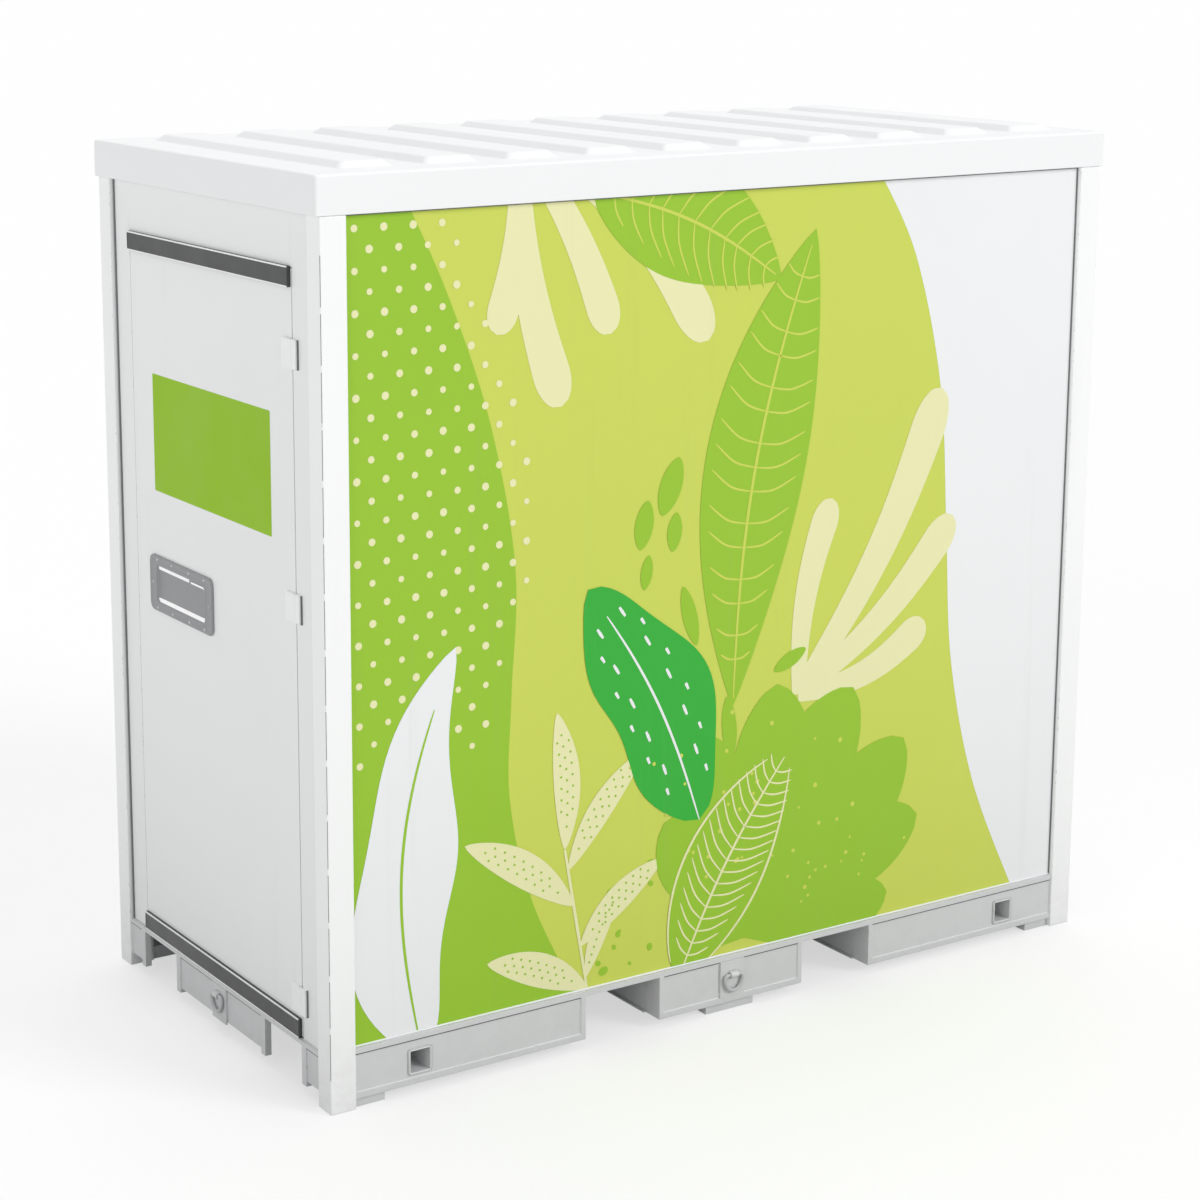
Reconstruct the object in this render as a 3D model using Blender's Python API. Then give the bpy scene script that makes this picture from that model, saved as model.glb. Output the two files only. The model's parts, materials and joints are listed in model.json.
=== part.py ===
"""A walk-in transformer enclosure on a steel skid, as separate pieces.

X runs along the length, -Y is the printed long side, the door is in the -X end and Z is up.
The origin is on the ground below the middle. All sizes are in metres.
"""

import math

import bmesh
import bpy
from mathutils import Vector

# Clearances
GAP = 0.0003  # between pieces that touch
DOOR_GAP = 0.0025  # around the door leaf
RUNNING = 0.0006  # around pins and rods that turn or slide

# Enclosure
LENGTH = 2.672
WIDTH = 1.333
WALL_TOP = 2.400
CAP_HEIGHT = 0.104
CAP_OVERHANG_X = 0.012
CAP_OVERHANG_Y = 0.003
POST_X = 0.078
POST_Y = 0.071
PANEL_RECESS = 0.015
PANEL_THICKNESS = 0.050

# Roof ribs
RIB_COUNT = 10
RIB_WIDTH = 0.163
RIB_SLOPE = 0.022
RIB_CORNER = 0.020
RIB_HEIGHT = 0.018
RIB_FROM_SIDE = 0.1165
RIB_FROM_DOOR_END = 0.2055
RIB_FROM_FAR_END = 0.1715

# Skid
SIDE_LIP_TOP = 0.171
FRAME_TOP = 0.155
RAIL_BOTTOM = 0.027
FLANGE = 0.018
END_LIP_TOP = 0.1512
END_LIP = 0.012
LIP_SETBACK = 0.004
WEB_RECESS = 0.004
WEB = 0.006
SIDE_RIM = 0.016
END_RIM = 0.025
END_RIM_DEPTH = 0.020
END_WEB_BOTTOM = 0.040
FORK_SPACING = 0.774
FORK_WIDTH = 0.255
FORK_LIP = 0.008
END_FORK_FROM_POST = 0.099
END_FORK_WIDTH = 0.215
BEAM = 0.050
BEAM_WALL = 0.006
SHOE_SETBACK = 0.010
CORNER_SHOE = 0.095
MIDDLE_SHOE = 0.172
SOCKET = 0.070
SOCKET_WALL = 0.004
SOCKET_DEPTH = 0.145
SOCKET_FROM_END = 0.280
SOCKET_PROUD = 0.0035
SOCKET_Z = 0.0915

# Lashing rings
RING_ROD = 0.0055
RING_WIDTH = 0.073
RING_DROP = 0.048
RING_AXIS_Z = 0.113
RING_STANDOFF = 0.009
BARREL_RADIUS = 0.0095
BARREL_LENGTH = 0.028
BRACKET_WIDTH = 0.086
BRACKET_PROUD = 0.002
END_BRACKET_BOTTOM = 0.034

# Door
HINGE_JAMB = 0.109
LOCK_JAMB = 0.101
HEADER = 0.150
LEAF_OVER_RAIL = 0.0038
LEAF_THICKNESS = 0.045
JAMB_GAP_HINGE = 0.002
JAMB_GAP_LOCK = 0.003
HEADER_GAP = 0.003
THRESHOLD = 0.035
STOP_DEPTH = 0.025
STOP_LAP = 0.022
SEAL_DEPTH = 0.0057
SEAL_WIDTH = 0.012
SEAL_INSET = 0.0045
BAR_DEPTH = 0.0105
BAR_HEIGHT = 0.055
BAR_OVER_LEAF = 0.006
BAR_OVER_RAIL = 0.0008

# Door hinges
HINGE_AXIS_PROUD = 0.0055
HINGE_HEIGHT = 0.078
HINGE_FROM_TOP = 0.2205
HINGE_FROM_BOTTOM = 0.1065
HINGE_MIDDLE_RAISE = 0.209
HINGE_KNUCKLE = 0.0052
HINGE_PIN = 0.0024
HINGE_LEAF_NEAR = 0.0085
HINGE_FRAME_REACH = 0.031
HINGE_DOOR_REACH = 0.046
HINGE_LEAF_DEPTH = 0.0087

# Grip pan and push pad
PAN_FROM_LOCK_EDGE = 0.293
PAN_Z = 1.2475
PAN_WIDTH = 0.400
PAN_HEIGHT = 0.165
PAN_CORNER = 0.022
PAN_FLANGE = 0.008
PAN_DRAFT = 0.014
PAN_SLOPE_DEPTH = 0.015
PAN_WALL = 0.003
PAN_DEPTH = 0.040
PAD_WIDTH = 0.280
PAD_HEIGHT = 0.082
PAD_THICKNESS = 0.003
PAD_GAP = 0.0008
PAD_AXIS_DROP = 0.004

# Lock
ROD_RADIUS = 0.005
ROD_OFFSET = 0.017
ROD_TIP_GAP = 0.0015
ROD_THROW = 0.022
CAM_RADIUS = 0.055
CAM_PIVOT = 0.010
CAM_PLATE = 0.003
GUIDE = 0.020

# Ventilation louvre in the far end wall
LOUVRE_WIDTH = 0.860
LOUVRE_HEIGHT = 0.420
LOUVRE_Z = 0.300
LOUVRE_FRAME = 0.030
LOUVRE_SLATS = 7
SLAT = 0.004

# Transformer
TANK_FROM_WALL = 0.156
TANK_LENGTH = 0.950
TANK_WIDTH = 0.500
TANK_BOTTOM = 0.240
TANK_TOP = 1.150
TANK_WALL = 0.008
FIN_DEPTH = 0.110
FIN_THICKNESS = 0.012
FIN_PITCH = 0.070
FIN_COUNT = 13
COVER_THICKNESS = 0.010
COVER_OVERHANG = 0.022
CORE_LIMB = 0.100
COIL_RADIUS = 0.138
COIL_PITCH = 0.290
CORE_HEIGHT = 0.780
YOKE = 0.100
HV_PITCH = 0.180
HV_HEIGHT = 0.300
LV_PITCH = 0.110
LV_HEIGHT = 0.130
HV_ROW_Y = -0.100
LV_ROW_Y = 0.150
KNOB_RADIUS = 0.035
KNOB_NECK = 0.0245
KNOB_FROM_END = 0.095
KNOB_HEIGHT = 0.040

# Switchgear against the rear wall
GEAR_FROM_DOOR = 0.265
GEAR_FROM_TANK = 0.345
GEAR_DEPTH = 0.4015
GEAR_TOP = 1.550
LEVER_Z = 1.150
LEVER_LENGTH = 0.180
LEVER_DEPTH = 0.030
SPINDLE = 0.008
GEAR_PANEL = 0.650

# Low-voltage board on the front wall
BOARD_FROM_DOOR = 0.325
BOARD_WIDTH = 0.500
BOARD_Z = (0.850, 1.650)
BOARD_DEPTH = 0.220
BOARD_WALL = 0.015
BOARD_DOOR = 0.016
BREAKER = (0.150, 0.070, 0.260)
TOGGLE = (0.016, 0.040, 0.012)
EARTH_BAR = (0.500, 0.006, 0.040)
EARTH_BAR_Z = 0.500
EARTH_STANDOFF = 0.030

# Planes that several pieces share
END = LENGTH / 2
SIDE = WIDTH / 2
POST_INNER_X = END - POST_X
POST_INNER_Y = SIDE - POST_Y
PANEL_X = END - PANEL_RECESS
PANEL_Y = SIDE - PANEL_RECESS
ROOM_Y = PANEL_Y - PANEL_THICKNESS
ROOM_X = PANEL_X - PANEL_THICKNESS
LEAF_OUT = -PANEL_X
LEAF_IN = LEAF_OUT + LEAF_THICKNESS
LEAF_BOTTOM = END_LIP_TOP + LEAF_OVER_RAIL
LEAF_TOP = WALL_TOP - HEADER
LEAF_HINGE_Y = HINGE_JAMB - POST_INNER_Y
LEAF_NEAR = LEAF_HINGE_Y + DOOR_GAP
LEAF_FAR = POST_INNER_Y - LOCK_JAMB
STOP_FRONT = LEAF_IN + SEAL_DEPTH + 2 * GAP
STOP_BACK = STOP_FRONT + STOP_DEPTH
JAMB_NEAR = LEAF_HINGE_Y - JAMB_GAP_HINGE
JAMB_FAR = LEAF_FAR + JAMB_GAP_LOCK
HEADER_BOTTOM = LEAF_TOP + HEADER_GAP
THRESHOLD_TOP = LEAF_BOTTOM + THRESHOLD
HINGE_TOP_Z = LEAF_TOP - HINGE_FROM_TOP
HINGE_BOTTOM_Z = LEAF_BOTTOM + HINGE_FROM_BOTTOM
HINGE_MIDDLE_Z = (HINGE_TOP_Z + HINGE_BOTTOM_Z) / 2 + HINGE_MIDDLE_RAISE
HINGE_CENTRES = {"top": HINGE_TOP_Z, "middle": HINGE_MIDDLE_Z, "bottom": HINGE_BOTTOM_Z}
PAN_Y = LEAF_FAR - PAN_FROM_LOCK_EDGE
END_FORK_SPACING = 2 * (POST_INNER_Y - END_FORK_FROM_POST) - END_FORK_WIDTH
AXIS_X = LEAF_OUT - HINGE_AXIS_PROUD
PAN_FRONT = LEAF_OUT - GAP - PAN_FLANGE
PAD_FRONT = PAN_FRONT + PAN_SLOPE_DEPTH
PAD_AXIS = (PAD_FRONT + PAD_THICKNESS, PAN_Y, PAN_Z + PAD_HEIGHT / 2 - PAD_AXIS_DROP)
ROD_X = LEAF_IN + ROD_OFFSET
CAM_BACK = ROD_X + ROD_RADIUS + 0.0025
ROOF_TOP = WALL_TOP + CAP_HEIGHT
TANK_X = ROOM_X - TANK_FROM_WALL - TANK_LENGTH / 2
COVER_TOP = TANK_TOP + GAP + COVER_THICKNESS
GEAR_X = (STOP_BACK + GEAR_FROM_DOOR, TANK_X - TANK_LENGTH / 2 - GEAR_FROM_TANK)
GEAR_FRONT_Y = ROOM_Y - GEAR_DEPTH
BOARD_X = (STOP_BACK + BOARD_FROM_DOOR, STOP_BACK + BOARD_FROM_DOOR + BOARD_WIDTH)
BOARD_BACK = -ROOM_Y + GAP
BOARD_FRONT = BOARD_BACK + BOARD_DEPTH


# Shapes: each returns (points, faces)
def box(x, y, z):
    """A block from three (low, high) pairs."""
    points = [(a, b, c) for c in z for b in y for a in x]
    faces = [(0, 2, 3, 1), (4, 5, 7, 6), (0, 1, 5, 4), (2, 6, 7, 3), (0, 4, 6, 2), (1, 3, 7, 5)]
    return points, faces


def around(centre, half):
    return centre - half, centre + half


def placed(axis, along, first, second):
    """The point at `along` on the axis, with its other two coordinates in cyclic order."""
    turned = {"X": (along, first, second), "Y": (second, along, first), "Z": (first, second, along)}
    return turned[axis]


def loft(axis, outlines):
    """A solid through (position, outline) pairs; every outline has as many points."""
    count = len(outlines[0][1])
    points = [placed(axis, at, u, v) for at, outline in outlines for u, v in outline]
    faces = [tuple(reversed(range(count)))]
    for step in range(len(outlines) - 1):
        low = step * count
        for i in range(count):
            j = (i + 1) % count
            faces.append((low + i, low + j, low + count + j, low + count + i))
    faces.append(tuple(range(len(points) - count, len(points))))
    return points, faces


def prism(axis, span, outline):
    return loft(axis, [(span[0], outline), (span[1], outline)])


def circle(centre, radius, sides=24):
    turns = [2 * math.pi * i / sides for i in range(sides)]
    return [(centre[0] + radius * math.cos(t), centre[1] + radius * math.sin(t)) for t in turns]


def cylinder(axis, span, centre, radius, sides=24):
    return prism(axis, span, circle(centre, radius, sides))


def turned(axis, centre, profile, sides=24):
    """A turned piece from (position, radius) pairs."""
    return loft(axis, [(at, circle(centre, radius, sides)) for at, radius in profile])


def rectangle(u, v, corner=0.0, steps=4):
    """A rectangle, with round corners if a corner radius is given."""
    if not corner:
        return [(u[0], v[0]), (u[1], v[0]), (u[1], v[1]), (u[0], v[1])]
    centres = [(u[1] - corner, v[1] - corner), (u[0] + corner, v[1] - corner)]
    centres += [(u[0] + corner, v[0] + corner), (u[1] - corner, v[0] + corner)]
    outline = []
    for quarter, centre in enumerate(centres):
        for i in range(steps + 1):
            turn = math.pi / 2 * (quarter + i / steps)
            outline.append((centre[0] + corner * math.cos(turn), centre[1] + corner * math.sin(turn)))
    return outline


def mirrored(shape, axis):
    """The shape on the other side of the middle plane across this axis (0 is X, 1 is Y)."""
    points, faces = shape
    flipped = [tuple(-c if i == axis else c for i, c in enumerate(point)) for point in points]
    return flipped, [tuple(reversed(face)) for face in faces]


# Materials and objects
def linear(value):
    return value / 12.92 if value <= 0.04045 else ((value + 0.055) / 1.055) ** 2.4


def material(name, code, roughness, metallic=0.0):
    """A Principled material from a six-digit colour code."""
    made = bpy.data.materials.new(name)
    made.use_nodes = True
    shader = made.node_tree.nodes["Principled BSDF"]
    colour = [linear(int(code[i : i + 2], 16) / 255) for i in (0, 2, 4)]
    shader.inputs["Base Color"].default_value = (*colour, 1.0)
    shader.inputs["Roughness"].default_value = roughness
    shader.inputs["Metallic"].default_value = metallic
    made.diffuse_color = (*colour, 1.0)
    return made


def mesh_object(name, shape, origin=(0.0, 0.0, 0.0)):
    points, faces = shape
    mesh = bpy.data.meshes.new(name)
    mesh.from_pydata([Vector(point) - Vector(origin) for point in points], [], faces)
    made = bmesh.new()
    made.from_mesh(mesh)
    bmesh.ops.recalc_face_normals(made, faces=made.faces)
    made.to_mesh(mesh)
    made.free()
    obj = bpy.data.objects.new(name, mesh)
    obj.location = origin
    bpy.context.scene.collection.objects.link(obj)
    return obj


def helper(name, shape):
    obj = mesh_object(name, shape)
    obj.hide_render = True
    obj.display_type = "WIRE"
    return obj


def piece(name, finish, shapes, cuts=(), origin=(0.0, 0.0, 0.0), bevel=0.0, smooth=False):
    """One named piece: the first shape, with the others joined to it and the cuts taken out."""
    obj = mesh_object(name, shapes[0], origin)
    for operation, others in (("UNION", shapes[1:]), ("DIFFERENCE", cuts)):
        for number, shape in enumerate(others):
            tool = helper(f"{name}.{operation.lower()}.{number}", shape)
            step = obj.modifiers.new(tool.name, "BOOLEAN")
            step.operation = operation
            step.solver = "EXACT"
            step.object = tool
    if bevel:
        edge = obj.modifiers.new("edges", "BEVEL")
        edge.width = bevel
        edge.segments = 2
        edge.limit_method = "ANGLE"
        edge.angle_limit = math.radians(40)
    obj.data.materials.append(finish)
    if smooth:
        obj.data.shade_smooth()
        obj.data.set_sharp_from_angle(angle=math.radians(35))
    return obj


def mount_on(parent, children):
    """Parents the children without moving them."""
    for child in children:
        child.parent = parent
        child.matrix_parent_inverse = parent.matrix_basis.inverted()



# Skid
def channel(span, face, pockets, lip, flange, rim):
    """Shapes of a rail along X at -Y, facing outwards and broken by the (low, high) pockets.

    `lip` and `flange` are (y, z) pairs, and `rim` is the (width, depth) of the cheeks at each pocket."""
    width, depth = rim
    rim_y = (-face, -face + depth)
    web_y = (-face + WEB_RECESS, -face + WEB_RECESS + WEB)
    top = sum(lip[1]) / 2
    shapes = [box(span, *lip)]
    starts = [span[0]] + [high for _, high in pockets]
    ends = [low for low, _ in pockets] + [span[1]]
    for low, high in zip(starts, ends):
        shapes.append(box((low, high), *flange))
        shapes.append(box((low, high), web_y, (flange[1][0], top)))
    for low, high in pockets:
        shapes.append(box((low - width, low), rim_y, (RAIL_BOTTOM, top)))
        shapes.append(box((high, high + width), rim_y, (RAIL_BOTTOM, top)))
    return shapes


def quarter_turned(shape):
    """The shape turned a quarter about Z, so that what faced -Y faces -X."""
    points, faces = shape
    return [(y, -x, z) for x, y, z in points], faces


def pocket_spans(spacing, width):
    return [around(side * spacing / 2, width / 2) for side in (-1, 1)]


def side_rails(finish):
    span = around(0.0, POST_INNER_X - GAP)
    face = SIDE - LIP_SETBACK
    y = (-face, -POST_INNER_Y)
    lip = (y, (FRAME_TOP, SIDE_LIP_TOP))
    flange = (y, (RAIL_BOTTOM, RAIL_BOTTOM + FLANGE))
    pockets = pocket_spans(FORK_SPACING, FORK_WIDTH)
    shapes = channel(span, face, pockets, lip, flange, (SIDE_RIM, face - POST_INNER_Y))
    shoe_y = (-face + SHOE_SETBACK, -POST_INNER_Y - SHOE_SETBACK)
    shoe_z = (0.0, RAIL_BOTTOM + FLANGE / 2)
    shapes.append(box((span[0], span[0] + CORNER_SHOE), shoe_y, shoe_z))
    shapes.append(box((span[1] - CORNER_SHOE, span[1]), shoe_y, shoe_z))
    shapes.append(box(around(0.0, MIDDLE_SHOE / 2), shoe_y, shoe_z))
    hole = SOCKET / 2 + GAP
    cuts = [
        box(around(x, hole), around(-face + WEB_RECESS, 2 * WEB), around(SOCKET_Z, hole))
        for x in socket_places()
    ]
    piece("side_rail_front", finish, shapes, cuts)
    piece("side_rail_rear", finish, [mirrored(s, 1) for s in shapes], [mirrored(c, 1) for c in cuts])


def end_rails(finish):
    span = around(0.0, POST_INNER_Y - GAP)
    face = END - LIP_SETBACK
    lip = ((-face, -POST_INNER_X), (END_LIP_TOP - END_LIP, END_LIP_TOP))
    flange_y = (-face + WEB_RECESS, -face + END_RIM_DEPTH)
    flange = (flange_y, (END_WEB_BOTTOM, END_WEB_BOTTOM + WEB))
    pockets = pocket_spans(END_FORK_SPACING, END_FORK_WIDTH)
    plain = channel(span, face, pockets, lip, flange, (END_RIM, END_RIM_DEPTH))
    shapes = [quarter_turned(shape) for shape in plain]
    piece("end_rail_door", finish, shapes)
    piece("end_rail_far", finish, [mirrored(shape, 0) for shape in shapes])
    # The threshold stands on the door end's rail, between the jambs' stops.
    stop_y = (JAMB_NEAR + STOP_LAP + GAP, JAMB_FAR - STOP_LAP - GAP)
    threshold = box((STOP_FRONT, STOP_BACK), stop_y, (END_LIP_TOP + GAP, THRESHOLD_TOP))
    keeper = box(
        around(ROD_X, ROD_RADIUS + RUNNING),
        around(PAN_Y, ROD_RADIUS + RUNNING),
        (THRESHOLD_TOP - ROD_THROW - ROD_TIP_GAP, THRESHOLD_TOP + ROD_THROW),
    )
    piece("door_threshold", finish, [threshold], [keeper])


def cross_beams(finish):
    """Four channels beside the fork pockets, each with its web and a low lip at the pocket."""
    y = around(0.0, POST_INNER_Y - GAP)
    edges = [(FORK_SPACING - FORK_WIDTH) / 2, (FORK_SPACING + FORK_WIDTH) / 2]
    for number, (edge, away) in enumerate(
        ((-edges[1], -1), (-edges[0], 1), (edges[0], -1), (edges[1], 1)), start=1
    ):
        far = edge + away * BEAM
        web = edge + away * BEAM_WALL
        lip = edge - away * FORK_LIP
        shapes = [
            box(sorted((edge, web)), y, (RAIL_BOTTOM, FRAME_TOP)),
            box(sorted((lip, far)), y, (RAIL_BOTTOM, RAIL_BOTTOM + BEAM_WALL)),
            box(sorted((edge, far)), y, (FRAME_TOP - BEAM_WALL, FRAME_TOP)),
        ]
        piece(f"cross_beam_{number}", finish, shapes)


def floor(finish):
    x = (STOP_BACK + GAP, POST_INNER_X - GAP)
    y = around(0.0, POST_INNER_Y - GAP)
    piece("floor_plate", finish, [box(x, y, (FRAME_TOP + GAP, SIDE_LIP_TOP))])


def socket_places():
    return (-END + SOCKET_FROM_END, END - SOCKET_FROM_END)


def lifting_sockets(finish):
    """Square sockets through the side rails' webs, closed at the inner end."""
    mouth = -SIDE + LIP_SETBACK + WEB_RECESS - SOCKET_PROUD
    depth = (mouth, mouth + SOCKET_DEPTH)
    outer, inner = SOCKET / 2, SOCKET / 2 - SOCKET_WALL
    for x, end in zip(socket_places(), ("door", "far")):
        outline = rectangle(around(SOCKET_Z, outer), around(x, outer), SOCKET_WALL * 1.5, 3)
        hollow = rectangle(around(SOCKET_Z, inner), around(x, inner))
        body = prism("Y", depth, outline)
        bore = prism("Y", (depth[0] - SOCKET_WALL, depth[1] - SOCKET_WALL), hollow)
        piece(f"lifting_socket_front_{end}", finish, [body], [bore])
        piece(f"lifting_socket_rear_{end}", finish, [mirrored(body, 1)], [mirrored(bore, 1)])


def ring_path():
    """A closed D from the middle of its straight bar, hanging below it."""
    half = RING_WIDTH / 2 - RING_ROD
    corner = 2 * RING_ROD
    path = [(0.0, 0.0), (half - corner, 0.0)]
    for i in range(1, 4):
        turn = math.pi / 2 * (1 - i / 3)
        path.append((half - corner + corner * math.cos(turn), -corner + corner * math.sin(turn)))
    low = RING_DROP - corner
    for i in range(1, 12):
        turn = math.pi * i / 12
        path.append((half * math.cos(turn), -corner - low * math.sin(turn)))
    return path + [(-x, z) for x, z in reversed(path[1:5])]


def lashing_ring(name, finish, origin, turn):
    """A ring as a closed round bar, with its origin on the bar that it swings about."""
    curve = bpy.data.curves.new(name, "CURVE")
    curve.dimensions = "3D"
    curve.bevel_depth = RING_ROD
    curve.bevel_resolution = 2
    spline = curve.splines.new("POLY")
    path = ring_path()
    spline.points.add(len(path) - 1)
    for point, (x, z) in zip(spline.points, path):
        point.co = (x, 0.0, z, 1.0)
    spline.use_cyclic_u = True
    curve.materials.append(finish)
    ring = bpy.data.objects.new(name, curve)
    ring.location = origin
    ring.rotation_euler = (0.0, 0.0, turn)
    bpy.context.scene.collection.objects.link(ring)


def lashing_rings(bracket_finish, ring_finish):
    """A bracket plate and a ring in the middle of each rail."""
    sides = {"front": (SIDE, 0.0), "far": (END, 90.0), "rear": (SIDE, 180.0), "door": (END, 270.0)}
    for name, (distance, degrees) in sides.items():
        face = distance - LIP_SETBACK
        axis_y = -face - RING_STANDOFF
        if distance == SIDE:
            z = (RAIL_BOTTOM + FLANGE + GAP, FRAME_TOP - GAP)
        else:
            z = (END_BRACKET_BOTTOM, END_LIP_TOP - END_LIP - GAP)
        plate_y = (-face - BRACKET_PROUD, -face + WEB_RECESS - GAP)
        plate = box(around(0.0, BRACKET_WIDTH / 2), plate_y, z)
        length = around(0.0, BARREL_LENGTH / 2)
        barrel = cylinder("X", length, (axis_y, RING_AXIS_Z), BARREL_RADIUS, 16)
        saddle = box(length, (axis_y, -face), around(RING_AXIS_Z, BARREL_RADIUS))
        past = (-BARREL_LENGTH, BARREL_LENGTH)
        bore = cylinder("X", past, (axis_y, RING_AXIS_Z), RING_ROD + RUNNING, 16)
        turn = math.radians(degrees)
        bracket = piece(f"ring_bracket_{name}", bracket_finish, [plate, barrel, saddle], [bore])
        tools = [step.object for step in bracket.modifiers]
        for obj in (bracket, *tools):
            obj.rotation_euler = (0.0, 0.0, turn)
        origin = (-axis_y * math.sin(turn), axis_y * math.cos(turn), RING_AXIS_Z)
        lashing_ring(f"lashing_ring_{name}", ring_finish, origin, turn)


# Shell
def corner_posts(finish):
    for x_name, x in (("door", -1), ("far", 1)):
        for y_name, y in (("front", -1), ("rear", 1)):
            x_span = sorted((x * POST_INNER_X, x * END))
            y_span = sorted((y * POST_INNER_Y, y * SIDE))
            shape = box(x_span, y_span, (0.0, WALL_TOP - GAP))
            piece(f"corner_post_{y_name}_{x_name}", finish, [shape], bevel=0.003)


def wall_panels(side_finish, end_finish):
    x = around(0.0, POST_INNER_X - GAP)
    y = (-PANEL_Y, -ROOM_Y)
    side = box(x, y, (SIDE_LIP_TOP + GAP, WALL_TOP - GAP))
    piece("wall_front", side_finish, [side])
    piece("wall_rear", end_finish, [mirrored(side, 1)])
    across = around(0.0, POST_INNER_Y - GAP)
    end = box((ROOM_X, PANEL_X), across, (END_LIP_TOP + GAP, WALL_TOP - GAP))
    hole = box((ROOM_X - 0.01, PANEL_X + 0.01), around(0.0, LOUVRE_WIDTH / 2), louvre_z())
    piece("wall_far_end", end_finish, [end], [hole])


def louvre_z():
    return LOUVRE_Z, LOUVRE_Z + LOUVRE_HEIGHT


def louvre(finish):
    """A frame that fills its hole in the wall, with sloping slats that keep rain out."""
    y = around(0.0, LOUVRE_WIDTH / 2 - GAP)
    z = (LOUVRE_Z + GAP, LOUVRE_Z + LOUVRE_HEIGHT - GAP)
    body = box((ROOM_X, PANEL_X), y, z)
    inner_y = around(0.0, LOUVRE_WIDTH / 2 - LOUVRE_FRAME)
    pitch = (LOUVRE_HEIGHT - 2 * LOUVRE_FRAME) / LOUVRE_SLATS
    cuts = []
    for i in range(LOUVRE_SLATS):
        low = LOUVRE_Z + LOUVRE_FRAME + i * pitch
        high = low + pitch - SLAT
        rise = pitch * 0.8
        outline = [(low, PANEL_X + 0.01), (high, PANEL_X + 0.01)]
        outline += [(high + rise, ROOM_X - 0.01), (low + rise, ROOM_X - 0.01)]
        if i < LOUVRE_SLATS - 1:
            cuts.append(prism("Y", inner_y, outline))
    piece("louvre", finish, [body], cuts)


def door_frame(finish):
    """Jambs and header, each with a stop behind the leaf for the seal."""
    x, stop_x = (LEAF_OUT, STOP_BACK), (STOP_FRONT, STOP_BACK)
    bottom, top = END_LIP_TOP + GAP, WALL_TOP - GAP
    head = HEADER_BOTTOM - GAP
    near = -POST_INNER_Y + GAP
    far = POST_INNER_Y - GAP
    jamb = box(x, (near, JAMB_NEAR), (bottom, top))
    stop = box(stop_x, (near, JAMB_NEAR + STOP_LAP), (bottom, head))
    piece("door_jamb_hinge", finish, [jamb, stop, *hinge_frame_halves()])
    jamb = box(x, (JAMB_FAR, far), (bottom, top))
    stop = box(stop_x, (JAMB_FAR - STOP_LAP, far), (bottom, head))
    piece("door_jamb_lock", finish, [jamb, stop])
    header = box(x, (JAMB_NEAR + GAP, JAMB_FAR - GAP), (HEADER_BOTTOM, top))
    stop_y = (JAMB_NEAR + STOP_LAP + GAP, JAMB_FAR - STOP_LAP - GAP)
    stop = box(stop_x, stop_y, (LEAF_TOP - STOP_LAP, HEADER_BOTTOM + STOP_DEPTH))
    keeper = box(
        around(ROD_X, ROD_RADIUS + RUNNING),
        around(PAN_Y, ROD_RADIUS + RUNNING),
        (LEAF_TOP - STOP_LAP - ROD_THROW, LEAF_TOP - STOP_LAP + ROD_THROW),
    )
    piece("door_header", finish, [header, stop], [keeper])


def roof(finish):
    x = around(0.0, END + CAP_OVERHANG_X)
    y = around(0.0, SIDE + CAP_OVERHANG_Y)
    cap = box(x, y, (WALL_TOP, ROOF_TOP))
    first, last = RIB_FROM_DOOR_END - END, END - RIB_FROM_FAR_END
    length = SIDE - RIB_FROM_SIDE
    levels = ((ROOF_TOP - RIB_HEIGHT, 0.0), (ROOF_TOP, 0.0), (ROOF_TOP + RIB_HEIGHT, RIB_SLOPE))
    ribs = []
    for i in range(RIB_COUNT):
        centre = first + (last - first) * i / (RIB_COUNT - 1)
        layers = []
        for z, inset in levels:
            rib_x = around(centre, RIB_WIDTH / 2 - inset)
            layers.append((z, rectangle(rib_x, around(0.0, length - inset), RIB_CORNER, 3)))
        ribs.append(loft("Z", layers))
    piece("roof_cap", finish, [cap, *ribs])


# Door
def door_leaf(finish):
    """The leaf, with a pocket for the grip pan and guides for the lock rods on its inner face."""
    slab = box((LEAF_OUT, LEAF_IN), (LEAF_NEAR, LEAF_FAR), (LEAF_BOTTOM, LEAF_TOP))
    pocket_y = around(PAN_Y, pan_half_width() + GAP)
    pocket_z = around(PAN_Z, pan_half_height() + GAP)
    pocket = box((LEAF_OUT - PAN_FLANGE, PAN_FRONT + PAN_DEPTH + GAP), pocket_y, pocket_z)
    guide_x = (LEAF_IN - WEB, ROD_X + ROD_RADIUS + WEB / 2)
    guides = []
    bores = []
    for z in guide_places():
        guides.append(box(guide_x, around(PAN_Y, GUIDE / 2), around(z, GUIDE / 2)))
        bores.append(cylinder("Z", around(z, GUIDE), (ROD_X, PAN_Y), ROD_RADIUS + RUNNING, 16))
    pivot = (LEAF_IN - LEAF_THICKNESS / 4, ROD_X)
    guides.append(cylinder("X", pivot, (PAN_Y, PAN_Z), CAM_PIVOT, 16))
    return piece("door_leaf", finish, [slab, *guides], [pocket, *bores], origin=door_axis())


def door_axis():
    return (AXIS_X, LEAF_HINGE_Y, (LEAF_BOTTOM + LEAF_TOP) / 2)


def guide_places():
    """Heights of the rod guides: two for each rod."""
    up = LEAF_TOP - 4 * GUIDE
    down = LEAF_BOTTOM + 5 * GUIDE
    return (down, (down + PAN_Z) / 2, (up + PAN_Z) / 2, up)


def pan_half_width():
    return PAD_WIDTH / 2 + PAD_GAP + PAN_WALL + PAN_DRAFT


def pan_half_height():
    return PAD_HEIGHT / 2 + PAD_GAP + PAN_WALL + PAN_DRAFT


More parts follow.
